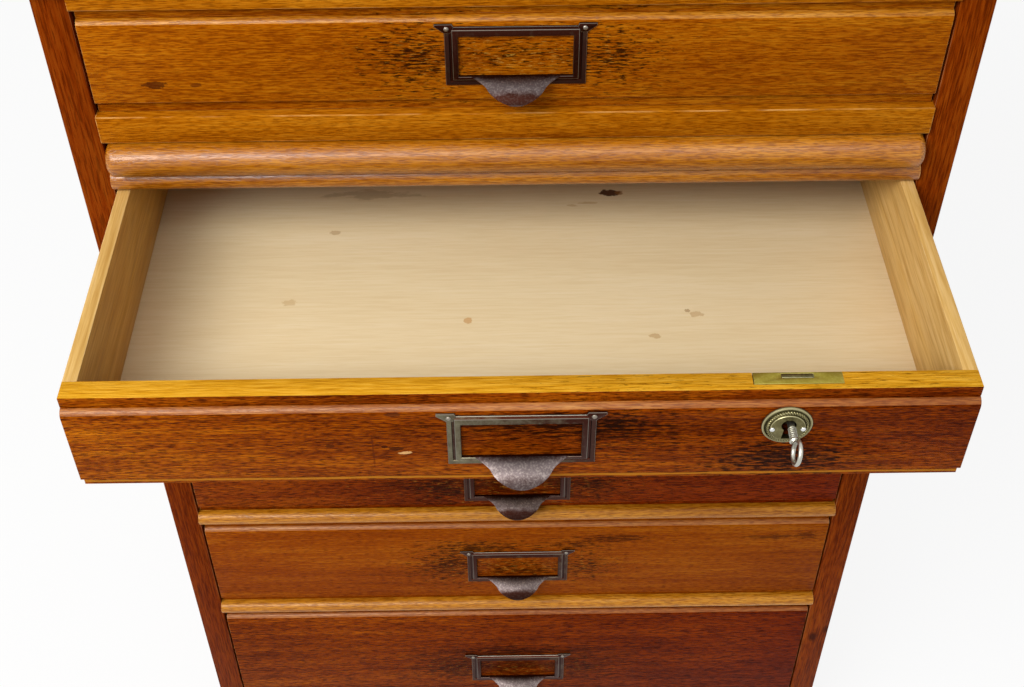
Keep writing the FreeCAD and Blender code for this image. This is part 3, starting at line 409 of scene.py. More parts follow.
def metal(name, base, worn, dark, patch_mm, roughness, speckle_mm=1.4, flecks=0.5, blotch=0.6):
    """Metal with a tarnish that comes and goes in patches, pitting, and rubbed raised edges."""
    material = bpy.data.materials.new(name)
    tree = emptied(material)
    place = add(tree, "ShaderNodeTexCoord").outputs["Object"]
    patches = add(tree, "ShaderNodeTexNoise", {
        "Vector": place, "Scale": 1000 / patch_mm, "Detail": 5.0, "Roughness": 0.65})
    speckle = add(tree, "ShaderNodeTexNoise", {
        "Vector": place, "Scale": 1000 / speckle_mm, "Detail": 2.0})
    # Rubbed edges carry worn above 0, hollows that hold dirt below 0
    rub = add(tree, "ShaderNodeAttribute", attribute_name="worn").outputs["Fac"]
    # On the cups this mark also paints a highlight band in the middle and shade lower down
    old = add(tree, "ShaderNodeAttribute", attribute_name="tarnish").outputs["Fac"]
    hollow = add(tree, "ShaderNodeMath", {0: rub, 1: -1.0, 2: old}, operation="MULTIPLY_ADD")
    patchy = add(tree, "ShaderNodeMapRange", {
        "Value": patches, "From Min": 0.38, "From Max": 0.64, "To Max": blotch})
    tarnish = add(tree, "ShaderNodeMath", {0: patchy, 1: hollow}, operation="ADD",
                  use_clamp=True)
    colour = add(tree, "ShaderNodeMix", {"Factor": tarnish, "A": linear(base), "B": linear(dark)},
                 data_type="RGBA")
    grit = add(tree, "ShaderNodeMapRange", {
        "Value": speckle, "From Min": 0.46, "From Max": 0.68, "To Max": flecks})
    clean = add(tree, "ShaderNodeMath", {0: tarnish, 1: -0.92, 2: 1.0}, operation="MULTIPLY_ADD")
    grit = add(tree, "ShaderNodeMath", {0: grit, 1: clean}, operation="MULTIPLY")
    rubbed = add(tree, "ShaderNodeMath", {0: grit, 1: rub}, operation="MAXIMUM", use_clamp=True)
    colour = add(tree, "ShaderNodeMix", {"Factor": rubbed, "A": colour, "B": linear(worn)},
                 data_type="RGBA")
    rough = add(tree, "ShaderNodeMapRange", {
        "Value": patches, "To Min": roughness - 0.08, "To Max": roughness + 0.14})
    normal = add(tree, "ShaderNodeBump", {
        "Height": speckle, "Strength": 0.5, "Distance": 0.04 * MM})
    surface = add(tree, "ShaderNodeBsdfPrincipled", {
        "Base Color": colour, "Roughness": rough, "Normal": normal, "Metallic": 1.0})
    add(tree, "ShaderNodeOutputMaterial", {"Surface": surface})
    return material


def make_metals():
    """Every metal finish by name."""
    return {
        # Pressed steel, chemically bronzed, gone brown with grey-green where it is handled
        "pull": metal("bronzed_steel_frame", "#6e6852", "#968d82", "#3a1a11", 9, 0.38,
                      flecks=0.2, blotch=0.5),
        # The cup of the same pull, rubbed grey by fingers, mottled
        "cup": metal("bronzed_steel_cup", "#635857", "#8d827c", "#2c1610", 5, 0.42,
                     speckle_mm=1.3, flecks=0.6, blotch=0.32),
        # Cast brass, greenish and dull in its hollows
        "brass": metal("aged_brass", "#736b46", "#b5ae86", "#37331a", 7, 0.34, flecks=0.15,
                       blotch=0.5),
        # Brass strip of the lock, wiped flat
        "strip": metal("wiped_brass_strip", "#a6973f", "#bcb060", "#857626", 12, 0.42,
                       flecks=0.35),
        # Bright steel nails and lock parts
        "steel": metal("bright_steel", "#c9c9c6", "#e6e6e4", "#8f8f8c", 6, 0.26, blotch=0.4),
        # Nickel silver key, worn soft
        "nickel": metal("worn_nickel_silver", "#98968a", "#c8c6ba", "#6a6858", 4, 0.34,
                        flecks=0.3, blotch=0.5),
    }


# ---------------------------------------------------------------- mesh tools

def finish_piece(bm, name, materials, body, slot):
    """Turns a bmesh into an object at the origin that rides on a body."""
    mesh = bpy.data.meshes.new(name)
    bm.to_mesh(mesh)
    bm.free()
    mesh.shade_smooth()
    mesh.set_sharp_from_angle(angle=ARRIS_ANGLE)
    for material in materials:
        mesh.materials.append(material)
    piece = bpy.data.objects.new(name, mesh)
    bpy.context.scene.collection.objects.link(piece)
    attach(piece, body)
    return piece


def islands(bm):
    """The vertices of each separate board, in the same order every time."""
    seen = set()
    for start in bm.verts:
        if start in seen:
            continue
        seen.add(start)
        group = [start]
        for vert in group:
            for edge in vert.link_edges:
                other = edge.other_vert(vert)
                if other not in seen:
                    seen.add(other)
                    group.append(other)
        yield group


def edges_at(verts):
    """The edges at some vertices, each once, in the vertices' order."""
    return list(dict.fromkeys(edge for vert in verts for edge in vert.link_edges))


# How far from a board's middle its pith lies, and how far along the grain its pattern starts
PITH_REACH = (70 * MM, 160 * MM)
PATTERN_START = (-9, 9)
# The axes along and across the grain, by the direction in which a board runs
GRAIN_AXES = {"X": (0, 1, 2), "Y": (1, 0, 2), "Z": (2, 0, 1)}


def mark_grain(bm, name, along):
    """Gives each board a grain vector, first axis along the grain, and its own tone."""
    grain = bm.verts.layers.float_vector.new("grain")
    tone = bm.verts.layers.float.new("tone")
    order = GRAIN_AXES[along]
    groups = sorted(islands(bm), key=lambda group: tuple(min(v.co[:] for v in group)))
    for number, group in enumerate(groups):
        draw = random.Random(f"{name}/{number}")
        turn = draw.uniform(0, FULL_TURN)
        pith = draw.uniform(*PITH_REACH)
        shift = Vector((draw.uniform(*PATTERN_START), pith * math.cos(turn),
                        pith * math.sin(turn)))
        shade = draw.uniform(-1, 1)
        middle = sum((v.co for v in group), Vector()) / len(group)
        for vert in group:
            local = vert.co - middle
            vert[grain] = Vector([local[i] for i in order]) + shift
            vert[tone] = shade


def eased_board(name, along, ease):
    """A copy of a board with its outer arrises rounded over as use has left them."""
    bm = bmesh.new()
    bm.from_mesh(NODES[name].data)
    worn = bm.faces.layers.float.new("worn")
    bmesh.ops.remove_doubles(bm, verts=bm.verts, dist=WELD)
    bmesh.ops.dissolve_limit(bm, angle_limit=FLAT_ANGLE, verts=bm.verts, edges=bm.edges)
    arrises = [edge for edge in bm.edges if len(edge.link_faces) == 2
               and edge.calc_face_angle_signed(0) > ARRIS_ANGLE]
    rounded = bmesh.ops.bevel(bm, geom=arrises, offset=ease, offset_type="OFFSET", segments=2,
                              profile=0.5, affect="EDGES", clamp_overlap=True, material=-1)
    for face in rounded["faces"]:
        face[worn] = 1.0
    mark_grain(bm, name, along)
    return bm


def turned(bm, profile, centre, steps):
    """Spins a profile of (radius, height) about the -Y direction through a centre."""
    before = set(bm.verts)
    verts = [bm.verts.new((centre[0] + r, centre[1] - h, centre[2])) for r, h in profile]
    edges = [bm.edges.new(pair) for pair in zip(verts, verts[1:])]
    bmesh.ops.spin(bm, geom=verts + edges, cent=centre, axis=(0, 1, 0), angle=FULL_TURN,
                   steps=steps, use_merge=True)
    made = [v for v in bm.verts if v not in before]
    bmesh.ops.remove_doubles(bm, verts=made, dist=2 * WELD)
    return [v for v in bm.verts if v not in before]


def node_body(name):
    """The body that a node belongs to."""
    groups = frame["record"]["behaviour"]["bodies"]
    return next(body for body, nodes in groups.items() if name in nodes)


def node_slot(name):
    """The record's material slot of a node."""
    parts = frame["record"]["subparts"]
    return next(part["material_slot"] for part in parts if part["node"] == name)


def dress_board(name, along, materials, ease, mark=None):
    """Replaces a board by its eased and finished copy."""
    bm = eased_board(name, along, ease)
    if mark:
        mark(bm, name)
    piece = finish_piece(bm, f"{name}_finished", materials, node_body(name), node_slot(name))
    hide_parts(name)


def finishes(scene, kind):
    """The scene's woods or metals as a table from finish to material."""
    return {key: bpy.data.materials[name] for key, name in scene[kind].to_dict().items()}


# ---------------------------------------------------------------- settings

class CabinetWear(bpy.types.PropertyGroup):
    """How far use has rounded the cabinet's arrises."""

    board_ease: FloatProperty(
        name="Board easing", description="Rounding of the outer arrises of rails and posts",
        default=0.7 * MM, unit="LENGTH", subtype="DISTANCE")
    drawer_ease: FloatProperty(
        name="Drawer easing", description="Rounding of the arrises of drawer parts",
        default=0.45 * MM, unit="LENGTH", subtype="DISTANCE")


class CabinetPull(bpy.types.PropertyGroup):
    """Sizes of the pressed card-frame pulls."""

    window_width: FloatProperty(
        name="Window width", description="Clear width of the card frame", default=73.5 * MM,
        unit="LENGTH", subtype="DISTANCE")
    window_height: FloatProperty(
        name="Window height", description="Clear height of the card frame", default=30 * MM,
        unit="LENGTH", subtype="DISTANCE")
    window_drop: FloatProperty(
        name="Window drop", description="Ears' upper edge to the window", default=8.5 * MM,
        unit="LENGTH", subtype="DISTANCE")
    cup_reach: FloatProperty(
        name="Cup reach", description="How far the cup stands out of the drawer",
        default=19.5 * MM, unit="LENGTH", subtype="DISTANCE")
    cup_bend: FloatProperty(
        name="Cup bend", description="Radius of the cup's forward bend", default=22 * MM,
        unit="LENGTH", subtype="DISTANCE")
    cup_sheet: FloatProperty(
        name="Cup sheet", description="Thickness of the pressed sheet", default=0.9 * MM,
        unit="LENGTH", subtype="DISTANCE")


class CabinetLock(bpy.types.PropertyGroup):
    """Sizes of the escutcheon and the key."""

    keyhole_radius: FloatProperty(
        name="Keyhole radius", description="Radius of the keyhole's round part",
        default=4.6 * MM, unit="LENGTH", subtype="DISTANCE")
    keyhole_foot: FloatProperty(
        name="Keyhole foot", description="Half the width of the keyhole's foot",
        default=3.6 * MM, unit="LENGTH", subtype="DISTANCE")
    keyhole_drop: FloatProperty(
        name="Keyhole drop", description="Key's axis to the bottom of the keyhole",
        default=11.5 * MM, unit="LENGTH", subtype="DISTANCE")
    rope_strands: IntProperty(
        name="Rope strands", description="Slanted strands round the escutcheon's rope ring",
        default=46)
    key_turn: FloatProperty(
        name="Key turn", description="How far the resting key hangs out of plumb",
        default=math.radians(9), unit="ROTATION", subtype="ANGLE")


class CabinetStage(bpy.types.PropertyGroup):
    """Floor and light."""

    floor_colour: FloatVectorProperty(
        name="Floor", description="Colour of the studio floor", size=4, subtype="COLOR",
        default=linear("#f6f6f4"), min=0, max=1)
    key_power: FloatProperty(
        name="Key light", description="Power of the large soft light at the front left",
        default=103.0, unit="POWER")
    left_power: FloatProperty(
        name="Left front light", description="Power of the light over the left front",
        default=14.0, unit="POWER")
    right_power: FloatProperty(
        name="Right front light", description="Power of the light over the right front",
        default=7.0, unit="POWER")
    sky: FloatProperty(
        name="Sky", description="Level of the even light from all round", default=0.36)


# ---------------------------------------------------------------- boards

# The boards that each finish goes on, with the direction in which they run
BOARD_PLAN = {
    "front_post_left": ("Z", "post"), "front_post_right": ("Z", "post"),
    "rear_posts": ("Z", "carcass"), "side_rails": ("Y", "carcass"),
    "side_panels": ("Z", "carcass"), "top_board": ("X", "carcass"),
    "kick_board": ("X", "carcass"), "bottom_rail": ("X", "rail"),
    "top_rail": ("X", "flat_rail"), "slide_head_rail": ("X", "flat_rail"),
    "slide_bead_rail": ("X", "rail"), "drawer_rails": ("X", "bead"),
    "back_panel": ("Z", "backing"), "rear_rails": ("X", "backing"),
    "runners": ("Y", "backing"), "drawer_stops": ("X", "backing")}


class HABERDASHERY_OT_carcass(bpy.types.Operator):
    """Finish the posts, rails, panels, top and kick board"""

    bl_idname = "haberdashery.carcass"
    bl_label = "Carcass"

    def execute(self, context):
        ease = context.scene.cabinet_wear.board_ease
        woods = finishes(context.scene, "cabinet_woods")
        for name, (along, finish) in BOARD_PLAN.items():
            dress_board(name, along, [woods[finish]], ease, mark_coats)
        return {"FINISHED"}


def mark_coats(bm, name):
    """The left front post has had more coats of shellac than the other boards."""
    stain = bm.verts.layers.float.new("stain")
    for vert in bm.verts:
        vert[stain] = 0.3 if name == "front_post_left" else 0.0


class HABERDASHERY_OT_slide(bpy.types.Operator):
    """Finish the writing slide's board and its bullnosed lipping"""

    bl_idname = "haberdashery.slide"
    bl_label = "Writing slide"

    def execute(self, context):
        ease = context.scene.cabinet_wear.board_ease
        woods = finishes(context.scene, "cabinet_woods")
        dress_board("slide_board", "X", [woods["backing"]], ease)
        dress_board("slide_lipping", "X", [woods["rail"]], ease)
        return {"FINISHED"}


# The finishes of each drawer's flat and of its moulding; the moulding's paler finish is partly a
# painted highlight
FRONT_FINISH = {
    1: ("upper_front", "bead"), 2: ("lock_front", "moulding"), 3: ("dark_front", "moulding"),
    4: ("front", "moulding"), 5: ("dark_front", "moulding"), 6: ("front", "moulding"),
    7: ("dark_front", "moulding")}
# How much red shellac and painted shade each drawer's front carries at its left and right end,
# and how soiled it is; the darker right ends and lower drawers are partly painted shade
FRONT_STAIN_SHADE_AND_SOIL = {1: (0.0, 0.18, 1.0), 2: (0.0, 0.65, 1.0), 3: (0.5, 0.8, 1.0), 4: (0.6, 0.7, 0.9),
             5: (0.6, 1.0, 1.0), 6: (0.66, 0.57, 0.9), 7: (0.42, 0.95, 0.8)}
# Where marks are measured from, below the pull's top; how deep the bare edge and the moulding go
PULL_MIDDLE = 22.7 * MM
BARE_DEPTH, MOULDING_DEPTH = 1 * MM, 16 * MM


def mark_front(bm, name):
    """Marks a front's bare upper edge, the upper part of its moulding that takes the paler finish
    partly as a painted highlight, its stain with painted shade, and its soil; measures from its
    pull.
    """
    number = int(name.split("_")[1])
    low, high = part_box(name)
    pull_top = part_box(f"drawer_{number}_pull")[1].z
    centre = Vector((0.0, low[1], pull_top - PULL_MIDDLE))
    bare = bm.faces.layers.float.new("bare")
    stain = bm.verts.layers.float.new("stain")
    soil = bm.verts.layers.float.new("soil")
    place = bm.verts.layers.float_vector.new("place")
    left, right, dirt = FRONT_STAIN_SHADE_AND_SOIL[number]
    for face in bm.faces:
        under_top = high[2] - face.calc_center_median().z
        if face.normal.z > 0.7 and under_top < BARE_DEPTH:
            face[bare] = 1.0
        # Painted highlight: only the moulding's upper facets take the paler finish, so its lower
        # part stays as dark as the flat
        elif face.normal.y < -0.2 and face.normal.z > 0.42 and under_top < MOULDING_DEPTH:
            face.material_index = 1
    for vert in bm.verts:
        share = (vert.co.x - low[0]) / (high[0] - low[0])
        # Painted shade: the stain darkens a front towards its right end and on the lower drawers,
        # on top of its redder shellac
        vert[stain] = left + (right - left) * share
        vert[soil] = dirt
        vert[place] = vert.co - centre


def mark_bottom(bm, name):
    """Lets the locking drawer's bottom carry its knot and stains."""
    soil = bm.verts.layers.float.new("soil")
    place = bm.verts.layers.float_vector.new("place")
    for vert in bm.verts:
        vert[soil] = 1.0 if name.startswith(f"drawer_{LOCKING_DRAWER}_") else 0.0
        vert[place] = Vector((vert.co.x, 0, vert.co.y))


def paint_left_side_shade(bm, name):
    """Painted shade: the left side's inner face, turned away from the light at the left, is drawn
    darker.
    """
    stain = bm.faces.layers.float.new("stain")
    for face in bm.faces:
        if face.normal.x > 0.9 and face.calc_center_median().x < 0:
            face[stain] = 0.6


class HABERDASHERY_OT_drawers(bpy.types.Operator):
    """Finish the fronts, sides, backs and bottoms of the seven drawers"""

    bl_idname = "haberdashery.drawers"
    bl_label = "Drawers"

    def execute(self, context):
        ease = context.scene.cabinet_wear.drawer_ease
        woods = finishes(context.scene, "cabinet_woods")
        for number in DRAWERS:
            stem = f"drawer_{number}"
            flat, moulding = FRONT_FINISH[number]
            dress_board(f"{stem}_front", "X", [woods[flat], woods[moulding]], ease, mark_front)
            dress_board(f"{stem}_sides", "Y", [woods["pine"]], ease, paint_left_side_shade)
            dress_board(f"{stem}_back", "X", [woods["pine"]], ease)
            dress_board(f"{stem}_bottom", "X", [woods["birch"]], ease * 0.5, mark_bottom)
        return {"FINISHED"}


# ---------------------------------------------------------------- pulls

# Rings of the card frame from the window outwards, in mm: how far out at the sides, above and
# below, how far forward, and how rubbed (above 0) or dirty (below 0) the band up to it is
FRAME_RINGS = [
    (0.00, 0.00, 0.00, 0.0, 0.0), (0.00, 0.00, 0.00, 2.1, -0.6), (0.35, 0.35, 0.30, 2.5, 0.15),
    (3.30, 4.35, 2.10, 2.3, 0.0), (3.62, 4.80, 2.42, 2.1, 0.6), (4.00, 5.55, 2.80, 0.9, -0.5),
    (5.20, 5.75, 3.80, 0.6, -0.8), (5.60, 5.95, 4.20, 1.2, -0.1), (8.15, 6.15, 6.70, 1.2, 0.05),
    (8.50, 6.40, 7.00, 0.8, 0.6), (8.50, 6.40, 7.00, 0.0, 0.0)]
# Outline of an ear in mm, sideways from the middle and down from the ears' upper edge
EAR = [(51.4, 0.0), (51.4, 1.8), (45.3, 6.5), (41.2, 6.5), (39.0, 2.3), (40.2, 0.0)]
EAR_REACH, EAR_EASE = 1.35 * MM, 0.3 * MM
# The round heads of pins and nails, and a pull's pins: sideways, forward and down
HEAD_RADIUS, HEAD_HEIGHT = 1.7 * MM, 1.3 * MM
PIN_SIDE, PIN_REACH, PIN_DROP = 43.8 * MM, 1.2 * MM, 3.2 * MM
# The cup: half its width, what its shoulders add and over which share of its reach, how far
# forward it starts, how far it tucks up behind the frame, and how much it is crowned 20 mm out
CUP_HALF, SHOULDER, SHOULDER_RUN = 20.4, 8.8, 0.46
CUP_ROOT, CUP_TUCK = 1.9 * MM, 0.4 * MM
CROWN, CROWN_PLACE, CROWN_RUN = 1.8 * MM, 20 * MM, 0.45
# Below this area, the cup's faces are those of its cut edge
RIM_AREA = 0.8 * MM * MM


def add_frame(bm, sizes, face, top):
    """A pressed frame: rectangular rings grown outwards from the window, closed at the back."""
    worn = bm.faces.layers.float.get("worn")
    half = sizes.window_width / 2
    high = top - sizes.window_drop
    low = high - sizes.window_height
    middle = (high + low) / 2
    corners = [(-half, low), (half, low), (half, high), (-half, high)]
    ring = [bm.verts.new((x, face, z)) for x, z in corners]
    edges = [bm.edges.new((ring[i], ring[(i + 1) % 4])) for i in range(4)]
    for side, above, below, reach, rub in FRAME_RINGS[1:] + FRAME_RINGS[:1]:
        grown = bmesh.ops.extrude_edge_only(bm, edges=edges)["geom"]
        verts = {v for v in grown if isinstance(v, bmesh.types.BMVert)}
        edges = [e for e in grown if isinstance(e, bmesh.types.BMEdge)
                 and e.verts[0] in verts and e.verts[1] in verts]
        for vert in verts:
            x = math.copysign(half + side * MM, vert.co.x)
            z = high + above * MM if vert.co.z > middle else low - below * MM
            vert.co = (x, face - reach * MM, z)
        for piece in grown:
            if isinstance(piece, bmesh.types.BMFace):
                piece[worn] = rub
    bmesh.ops.remove_doubles(bm, verts=bm.verts, dist=WELD)


def add_ear(bm, side, face, top):
    """A flat wing at the frame's upper corner, its arrises eased."""
    verts = [bm.verts.new((side * x * MM, face, top - z * MM)) for x, z in EAR]
    plate = bm.faces.new(verts)
    grown = bmesh.ops.extrude_face_region(bm, geom=[plate])["geom"]
    moved = [v for v in grown if isinstance(v, bmesh.types.BMVert)]
    bmesh.ops.translate(bm, verts=moved, vec=(0, -EAR_REACH, 0))
    rim = [e for e in edges_at(moved) if all(v in moved for v in e.verts)]
    made = bmesh.ops.bevel(bm, geom=rim, offset=EAR_EASE, segments=2, profile=0.5,
                           affect="EDGES", clamp_overlap=True, material=-1)
    for item in made["faces"]:
        item[bm.faces.layers.float.get("worn")] = 0.6


def cup_half_width(run):
    """Half the cup's width at a share of its reach: hollow shoulders, then a round tip."""
    tip = CUP_HALF * math.sqrt(max(0.0, 1 - run ** 2.6))
    shoulder = SHOULDER * max(0.0, 1 - run / SHOULDER_RUN) ** 1.5
    return (tip + shoulder) * MM


def add_cup(bm, sizes, face, top, middle, lower):
    """A bent and crowned sheet that springs from the frame's lower band, thickened. Its middle
    and its lower part are drawn so brown: a grey middle as painted highlight, a dark lower part as
    painted shade."""
    start = bmesh.ops.create_grid(bm, x_segments=40, y_segments=26, size=1.0)["verts"]
    lip = top - sizes.window_drop - sizes.window_height + CUP_TUCK
    for vert in start:
        across, along = vert.co.x, (vert.co.y + 1) / 2
        run = math.sin(along * QUARTER_TURN) ** 0.9
        reach = CUP_ROOT + (sizes.cup_reach - CUP_ROOT) * run
        half = cup_half_width(run)
        turn = math.asin(min(1.0, reach / sizes.cup_bend))
        drop = sizes.cup_bend * (1 - math.cos(turn))
        crown = CROWN * (across * half / CROWN_PLACE) ** 2 * min(1.0, run / CROWN_RUN)
        vert.co = (across * half, face - reach, lip - drop - crown)
    bmesh.ops.remove_doubles(bm, verts=start, dist=10 * WELD)
    faces = list(bm.faces)
    bmesh.ops.recalc_face_normals(bm, faces=faces)
    if sum(f.normal.z for f in faces) < 0:
        bmesh.ops.reverse_faces(bm, faces=faces)
    bmesh.ops.solidify(bm, geom=faces, thickness=sizes.cup_sheet)
    tarnish = bm.verts.layers.float.new("tarnish")
    for vert in bm.verts:
        run = (face - CUP_ROOT - vert.co.y) / (sizes.cup_reach - CUP_ROOT)
        # Brown where the sheet leaves the frame, grey between as a painted highlight, and darker
        # where it turns under as painted shade
        lower_shade = max(0.0, min(1.0, (run - 0.55) / 0.28))
        vert[tarnish] = max(0.0, 1 - run / 0.28) + middle + (lower - middle) * lower_shade


def add_head(bm, centre):
    """A pin's or nail's raised round head standing on a surface that faces the front."""
    rings = 5
    profile = [(HEAD_RADIUS, 0.0)]
    for i in range(1, rings + 1):
        angle = QUARTER_TURN * i / rings
        profile.append((HEAD_RADIUS * math.cos(angle),
                        HEAD_HEIGHT * (0.25 + 0.75 * math.sin(angle))))
    profile.append((0.0, 0.0))
    made = turned(bm, profile, centre, 16)
    worn = bm.faces.layers.float.get("worn")
    for piece in {f for v in made for f in v.link_faces}:
        piece[worn] = 0.8


# How brown each pull's frame has gone at its left and right end
PULL_TARNISH = {1: (0.95, 0.95), 2: (-0.2, 0.95), 3: (0.8, 0.8), 4: (0.9, 0.8), 5: (1.0, 1.0),
                6: (1.0, 0.7), 7: (0.9, 0.8)}
# How brown each cup is drawn in its middle and lower down: grey in the middle as a painted
# highlight, dark lower down as painted shade
CUP_SHEEN_AND_SHADE = {1: (0.0, 1.2), 2: (-0.2, 0.45), 3: (0.0, 1.1), 4: (0.0, 1.2), 5: (0.1, 1.3),
               6: (-0.1, 1.3), 7: (0.0, 1.3)}


class HABERDASHERY_OT_pulls(bpy.types.Operator):
    """Build a card-frame pull with its finger cup and two pins for each drawer"""

    bl_idname = "haberdashery.pulls"
    bl_label = "Pulls"

    def execute(self, context):
        sizes = context.scene.cabinet_pull
        metals = finishes(context.scene, "cabinet_metals")
        for number in DRAWERS:
            node = f"drawer_{number}_pull"
            low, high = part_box(node)
            face, top = high[1], high[2]
            bm = bmesh.new()
            bm.faces.layers.float.new("worn")
            tarnish = bm.verts.layers.float.new("tarnish")
            add_frame(bm, sizes, face, top)
            for side in (-1, 1):
                add_ear(bm, side, face, top)
                add_head(bm, (side * PIN_SIDE, face - PIN_REACH, top - PIN_DROP))
            bmesh.ops.recalc_face_normals(bm, faces=bm.faces)
            left, right = PULL_TARNISH[number]
            for vert in bm.verts:
                vert[tarnish] = left + (right - left) * (vert.co.x - low[0]) / (high[0] - low[0])
            frame_piece = finish_piece(bm, f"{node}_frame", [metals["pull"]], node_body(node),
                                       node_slot(node))
            bm = bmesh.new()
            worn = bm.faces.layers.float.new("worn")
            add_cup(bm, sizes, face, top, *CUP_SHEEN_AND_SHADE[number])
            bm.normal_update()
            for item in bm.faces:
                if abs(item.normal.z) < 0.5 and item.calc_area() < RIM_AREA:
                    item[worn] = 0.1
            finish_piece(bm, f"{node}_cup", [metals["cup"]], node_body(node), node_slot(node))
            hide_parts(node)
        return {"FINISHED"}


# ---------------------------------------------------------------- lock and key

def key_axis():
    """The key's axis where it meets the drawer's face."""
    joint = next(j for j in frame["record"]["behaviour"]["joints"] if j["name"] == "key_turn")
    return Vector(joint["pos_m"])


# Escutcheon section from its flat middle's back round to its front: radius and height in mm,
# and how rubbed or dirty the band up to it is
CROWN_RADIUS, CROWN_HEIGHT = 10.35, 3.75
ESCUTCHEON_SECTION = [
    (CROWN_RADIUS, 0.0, 0), (15.6, 0.0, 0), (15.6, 0.7, 0), (15.35, 1.25, 0.6), (14.8, 1.6, 0.8),
    (14.1, 1.6, 0.3), (13.7, 1.25, 0), (13.4, 1.1, -0.8), (12.9, 1.3, -0.8), (11.1, 2.5, -0.6),
    (10.85, 3.1, -0.3), (10.75, 3.45, 0.3), (10.55, 3.68, 0.8), (CROWN_RADIUS, CROWN_HEIGHT, 0.5)]

# Where the keyhole stands beside the key, and how far under the crown the nails' heads start
HOLE_SHIFT, NAIL_SINK = 1.4 * MM, 0.15
# The rope ring: its radius, its core's height and thickness, and how far its strands swell
ROPE_RADIUS, ROPE_LIFT, ROPE_THICK, ROPE_SWELL = 12.05 * MM, 2.05 * MM, 0.95 * MM, 0.24


def keyhole_loop(bm, centre, sizes):
    """A keyhole outline: a circle whose lowest points are drawn down to a foot."""
    made = bmesh.ops.create_circle(
        bm, segments=40, radius=sizes.keyhole_radius,
        matrix=Matrix.Translation(centre) @ Matrix.Rotation(QUARTER_TURN, 4, "X"))["verts"]
    slot = sizes.keyhole_radius * 0.5
    for vert in made:
        across = vert.co.x - centre.x
        if vert.co.z < centre.z and abs(across) < slot:
            vert.co.z = centre.z - sizes.keyhole_drop
            vert.co.x = centre.x + across * sizes.keyhole_foot / (slot * 0.91)
    return made


def section_rub(radius, height):
    """How rubbed the band of the escutcheon's section is that lies nearest to a place in mm."""
    bands = zip(ESCUTCHEON_SECTION, ESCUTCHEON_SECTION[1:])
    nearest = min(bands, key=lambda pair: math.dist(
        (radius, height), ((pair[0][0] + pair[1][0]) / 2, (pair[0][1] + pair[1][1]) / 2)))
    return nearest[1][2]


class HABERDASHERY_OT_escutcheon(bpy.types.Operator):
    """Turn the brass escutcheon with its rope ring, pierce its keyhole and nail it on"""

    bl_idname = "haberdashery.escutcheon"
    bl_label = "Escutcheon"

    def execute(self, context):
        sizes = context.scene.cabinet_lock
        metals = finishes(context.scene, "cabinet_metals")
        low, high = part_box("escutcheon")
        disc = Vector(((low[0] + high[0]) / 2, high[1], (low[2] + high[2]) / 2))
        axis = key_axis()
        bm = bmesh.new()
        worn = bm.faces.layers.float.new("worn")
        turned(bm, [(r * MM, h * MM) for r, h, _ in ESCUTCHEON_SECTION], disc, 72)
        for item in bm.faces:
            middle = item.calc_center_median() - disc
            item[worn] = section_rub(math.hypot(middle.x, middle.z) / MM, -middle.y / MM)
        hole_middle = Vector((axis.x - HOLE_SHIFT, disc.y, axis.z))
        back = set(keyhole_loop(bm, hole_middle, sizes))
        back_edges = [e for e in bm.edges if all(v in back for v in e.verts)]
        walls = bmesh.ops.extrude_edge_only(bm, edges=back_edges)["geom"]
        front = [v for v in walls if isinstance(v, bmesh.types.BMVert)]
        bmesh.ops.translate(bm, verts=front, vec=(0, -CROWN_HEIGHT * MM, 0))
        for height in (0.0, CROWN_HEIGHT * MM):
            rims = [e for e in bm.edges if len(e.link_faces) == 1
                    and all(abs(v.co.y - disc.y + height) < 0.01 * MM for v in e.verts)]
            bmesh.ops.triangle_fill(bm, use_beauty=True, edges=rims, normal=(0, -1, 0))
        bmesh.ops.recalc_face_normals(bm, faces=bm.faces)
        add_rope(bm, disc, sizes.rope_strands)
        piece = finish_piece(bm, "escutcheon_turned", [metals["brass"]],
                             node_body("escutcheon"), node_slot("escutcheon"))
        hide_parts("escutcheon")

        bm = bmesh.new()
        bm.faces.layers.float.new("worn")
        low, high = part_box("escutcheon_nails")
        for x in (low[0] + HEAD_RADIUS, high[0] - HEAD_RADIUS):
            add_head(bm, (x, disc.y - (CROWN_HEIGHT - NAIL_SINK) * MM, (low[2] + high[2]) / 2))
        bmesh.ops.recalc_face_normals(bm, faces=bm.faces)
        nails = finish_piece(bm, "escutcheon_nails_domed", [metals["steel"]],
                             node_body("escutcheon_nails"), node_slot("escutcheon_nails"))
        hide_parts("escutcheon_nails")
        return {"FINISHED"}


def add_rope(bm, disc, strands):
    """A ring of slanted strands: a torus whose skin swells along a helix."""
    before = set(bm.verts)
    start = disc + Vector((ROPE_RADIUS, -ROPE_LIFT, 0))
    circle = bmesh.ops.create_circle(bm, segments=12, radius=ROPE_THICK,
                                     matrix=Matrix.Translation(start))["verts"]
    bmesh.ops.spin(bm, geom=circle + edges_at(circle), cent=disc, axis=(0, 1, 0),
                   angle=FULL_TURN, steps=strands * 6, use_merge=True)
    made = {v for v in bm.verts if v not in before}
    crest = {}
    for vert in made:
        local = vert.co - disc
        around = math.atan2(local.z, local.x)
        spoke = Vector((math.cos(around), 0, math.sin(around)))
        core = disc + spoke * ROPE_RADIUS - Vector((0, ROPE_LIFT, 0))
        out = vert.co - core
        about = math.atan2(-out.y, out.dot(spoke))
        wave = math.cos(strands * around + 2 * about)
        vert.co = core + out * (1 + ROPE_SWELL * wave)
        crest[vert] = wave
    faces = [f for f in bm.faces if all(v in made for v in f.verts)]
    bmesh.ops.recalc_face_normals(bm, faces=faces)
    worn = bm.faces.layers.float.get("worn")
    for item in faces:
        item[worn] = sum(crest[v] for v in item.verts) / len(item.verts) * 0.6


